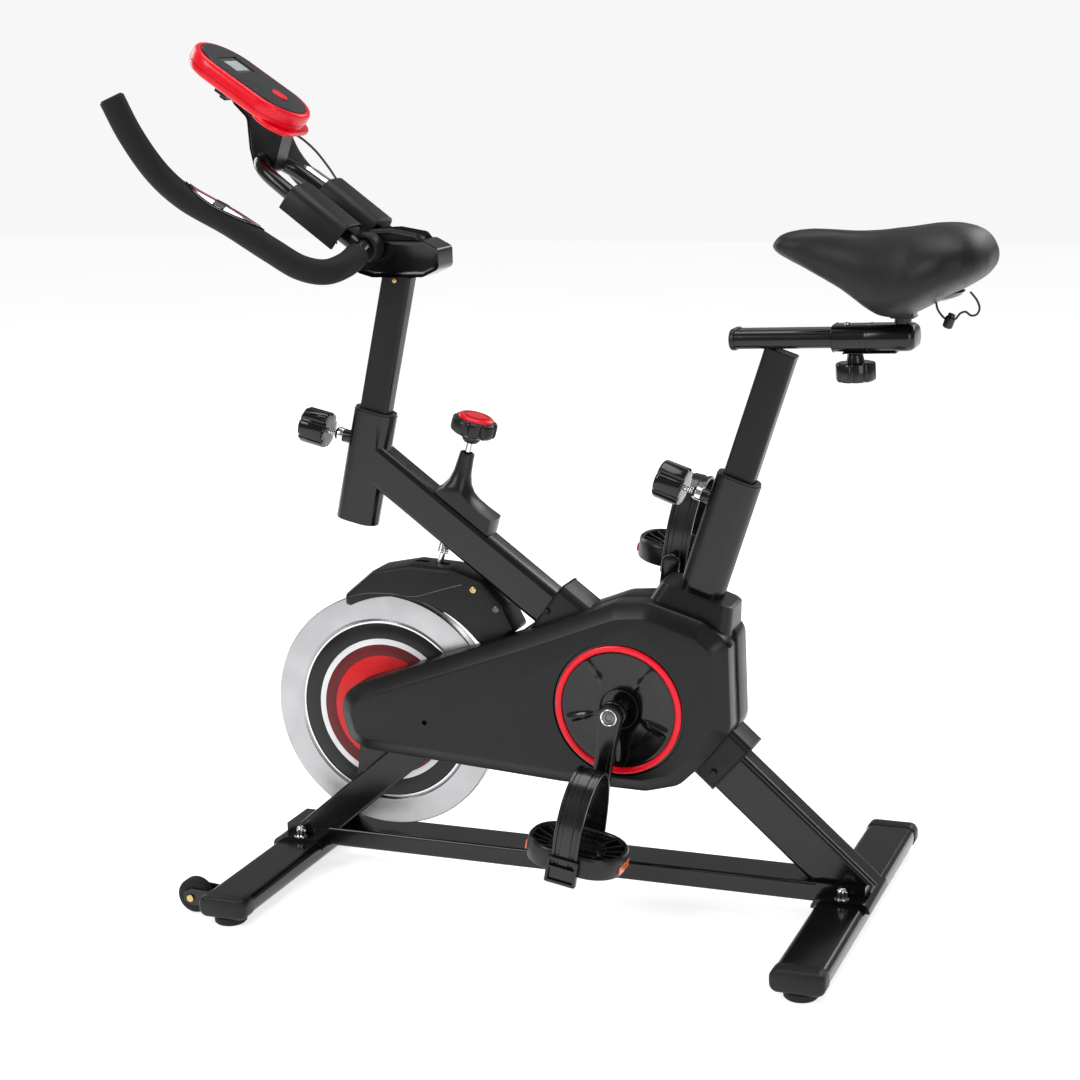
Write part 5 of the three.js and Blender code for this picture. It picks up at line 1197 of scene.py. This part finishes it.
# Saddle along x: half width from above, height of its top, height of the cover's lower edge.
SADDLE_WIDTH = [(257, 4), (262, 17), (272, 26), (290, 31.5), (320, 35.5), (350, 42), (380, 55), (410, 74),
                (436, 90), (460, 96), (482, 95), (502, 86), (516, 68), (524, 44), (528, 12)]
SADDLE_TOP = [(257, 853), (261, 861), (268, 867.5), (280, 871.5), (300, 872.5), (330, 871), (360, 869.6),
              (390, 871), (424, 874.6), (455, 879), (480, 881.5), (500, 879), (514, 872), (524, 858),
              (528, 848)]
SADDLE_EDGE = [(257, 848), (262, 842), (280, 836), (300, 827), (330, 811), (352, 799), (375, 782), (392, 771),
               (410, 768), (430, 770.5), (455, 784), (478, 796), (500, 807), (516, 817), (524, 826),
               (528, 842)]


def between(stops, x):
    """Value at x on straight lines through the stops."""
    for (x0, v0), (x1, v1) in zip(stops, stops[1:]):
        if x <= x1:
            return v0 + (v1 - v0) * max(0, x - x0) / (x1 - x0)
    return stops[-1][1]


def saddle_ring(x, inset=3.0):
    """Cross-section: crowned top with a shallow relief channel, full sides, cover tucked under."""
    half = max(2, between(SADDLE_WIDTH, x) - inset)
    top = between(SADDLE_TOP, x) - inset
    low = between(SADDLE_EDGE, x) + inset * 0.6
    mid = low + (top - low) * 0.42
    rise = top - mid
    drop = mid - low
    ring = []
    for c, s in round_points(48):
        y = half * math.copysign(abs(c) ** 0.86, c)
        if s >= 0:
            z = mid + rise * abs(s) ** 0.8 - 0.10 * rise * (abs(y) / half) ** 2
            channel = max(0.0, 1 - abs(y) / 13) * min(1, max(0, (x - 330) / 60))
            channel *= min(1, max(0, (515 - x) / 40))
            z -= 2.6 * channel ** 1.5
        else:
            z = mid - drop * abs(s) ** 0.7
            y *= 1 - 0.14 * abs(s) ** 3
        ring.append(Vector((x, y, z)))
    return ring


def make_saddle():
    pad = make_object("saddle_pad", *skin([saddle_ring(x) for x in (
        258.5, 260, 263, 267, 272, 279, 288, 300, 314, 330, 346, 362, 378, 394, 410, 424, 438, 452, 466, 480,
        492, 502, 510, 516, 520, 523.5, 525.5)]))
    inflate(pad)
    soften(pad, 2)
    base = skin([[Vector((424 + u * k, v * k, z)) for u, v, _, _ in round_section(170, 110, 52, 10)]
                 for z, k in ((790, 0.55), (795, 0.72), (800, 0.78))])
    piece("saddle_base", base, "carriage", TRIM_PLASTIC)
    place(pad, "carriage", LEATHER, "saddle")
    pad.modifiers.new("fine", "SUBSURF").render_levels = 1


def inflate(obj):
    """Pressurised cloth: the cover swells over its filling and is then frozen."""
    remesh = obj.modifiers.new("even", "REMESH")
    remesh.mode = "VOXEL"
    remesh.voxel_size = 0.0055
    freeze(obj)
    rest = [v.co.copy() for v in obj.data.vertices]
    cloth = obj.modifiers.new("cover", "CLOTH")
    settings = cloth.settings
    for key, value in (("quality", 6), ("mass", 0.3), ("tension_stiffness", 25),
                       ("compression_stiffness", 25), ("shear_stiffness", 10), ("bending_stiffness", 3)):
        setattr(settings, key, value)
    settings.use_pressure = True
    settings.uniform_pressure_force = 4
    settings.effector_weights.gravity = 0
    cloth.point_cache.frame_start = 1
    cloth.point_cache.frame_end = 20
    scene = bpy.context.scene
    for number in range(1, 21):
        scene.frame_set(number)
    made = obj.evaluated_get(bpy.context.evaluated_depsgraph_get())
    moved = [v.co.copy() for v in made.data.vertices]
    obj.modifiers.remove(cloth)
    scene.frame_set(1)
    for vertex, start, end in zip(obj.data.vertices, rest, moved):
        step = end - start
        if step.length > 0.0035:
            step = step.normalized() * 0.0035
        vertex.co = start + step
    gather(obj)


def gather(obj):
    """Small pleats where the drawstring pulls the cover in along its lower edge."""
    for vertex in obj.data.vertices:
        p = vertex.co
        low = between(SADDLE_EDGE, p.x * 1000 - MIDDLE_X) * 0.001
        reach = max(0.0, 1 - (p.z - low) / 0.020)
        if reach > 0:
            ripple = (noise.noise(Vector((p.x * 90, p.y * 90, 0)))
                      + 0.6 * noise.noise(Vector((p.x * 210, p.y * 210, 3)))) * reach
            vertex.co = p + Vector((0, math.copysign(1, p.y) * 0.0011 * ripple, 0.0006 * ripple))


def soften(obj, rounds):
    shape = bmesh.new()
    shape.from_mesh(obj.data)
    for _ in range(rounds):
        bmesh.ops.smooth_vert(shape, verts=shape.verts, factor=0.5, use_axis_x=True, use_axis_y=True,
                              use_axis_z=True)
    shape.to_mesh(obj.data)
    shape.free()
    obj.data.shade_smooth()


# ------------------------------------------------------------- cords
LEAD_ROUTE = [(-0.3838, 0.022, 0.988), (-0.3798, 0.034, 0.982), (-0.3738, 0.060, 0.965),
              (-0.3708, 0.090, 0.942), (-0.3728, 0.118, 0.923), (-0.3768, 0.138, 0.912),
              (-0.3818, 0.153, 0.9076)]
DRAW_ROUTE = [(0.4652, -0.022, 0.789), (0.4682, -0.024, 0.780), (0.4782, -0.026, 0.770),
              (0.4882, -0.027, 0.770), (0.4942, -0.025, 0.777), (0.5002, -0.025, 0.779),
              (0.5072, -0.027, 0.775), (0.5142, -0.029, 0.777), (0.5172, -0.030, 0.784),
              (0.5142, -0.030, 0.793), (0.5062, -0.030, 0.803)]


def make_cord(name, route, count, radius):
    """Round cord on the smooth curve through a route in metres, and its length."""
    path = Path(route, 40)
    points = [path.at(i / count) for i in range(count + 1)]
    data = bpy.data.curves.new(name, "CURVE")
    data.dimensions = "3D"
    data.bevel_depth = radius
    data.bevel_resolution = 5
    data.use_fill_caps = True
    spline = data.splines.new("POLY")
    spline.points.add(count)
    for point, p in zip(spline.points, points):
        point.co = (*p, 1)
    return add_object(name, data), sum((b - a).length for a, b in zip(points, points[1:]))


def make_cords():
    lead, length = make_cord("pulse_lead", LEAD_ROUTE, 36, 0.0016)
    place(lead, "bar", LACE, "sensor_lead")
    lace, length = make_cord("saddle_lace", DRAW_ROUTE, 60, 0.0013)
    place(lace, "carriage", LACE, "drawstring")
    barrel = [(ON_AXIS, -9), (4.6, -9, 0.8), (6, -7.4, 0.8), (6, 3.6, 0.8), (4.4, 5, 0.3), (4.4, 8.6, 0.8),
              (ON_AXIS, 9)]
    toggle = piece("lace_toggle", turned(barrel, Vector((478, -26.5, 768.5)), Vector((0.35, 0, 0.94)), 40),
                   "carriage", GLOSS_PLASTIC, "cord_lock", slot="black_plastic")


add_camera()
make_cords()
add_world()
add_floor()
add_lights()
make_flywheel()
make_cover()
for side, tag, node in SIDES:
    make_crank(side, "crank_arm_" + tag, "crank_" + node)
    make_pedal(side, "pedal_" + tag, "pedal_" + tag, "pedal_" + node)
    make_strap(side, "pedal_" + tag, "strap_" + tag, "pedal_strap_" + node)
    make_armrest(side, tag, "armrest_" + node)
make_knobs()
make_handlebar()
make_console()
make_neck()
make_stem()
make_clamp_cover()
make_casing()
make_brake_cover()
make_brake_parts()
make_base_details()
make_seat_rail()
make_carriage()
make_saddle()
finish_nodes()
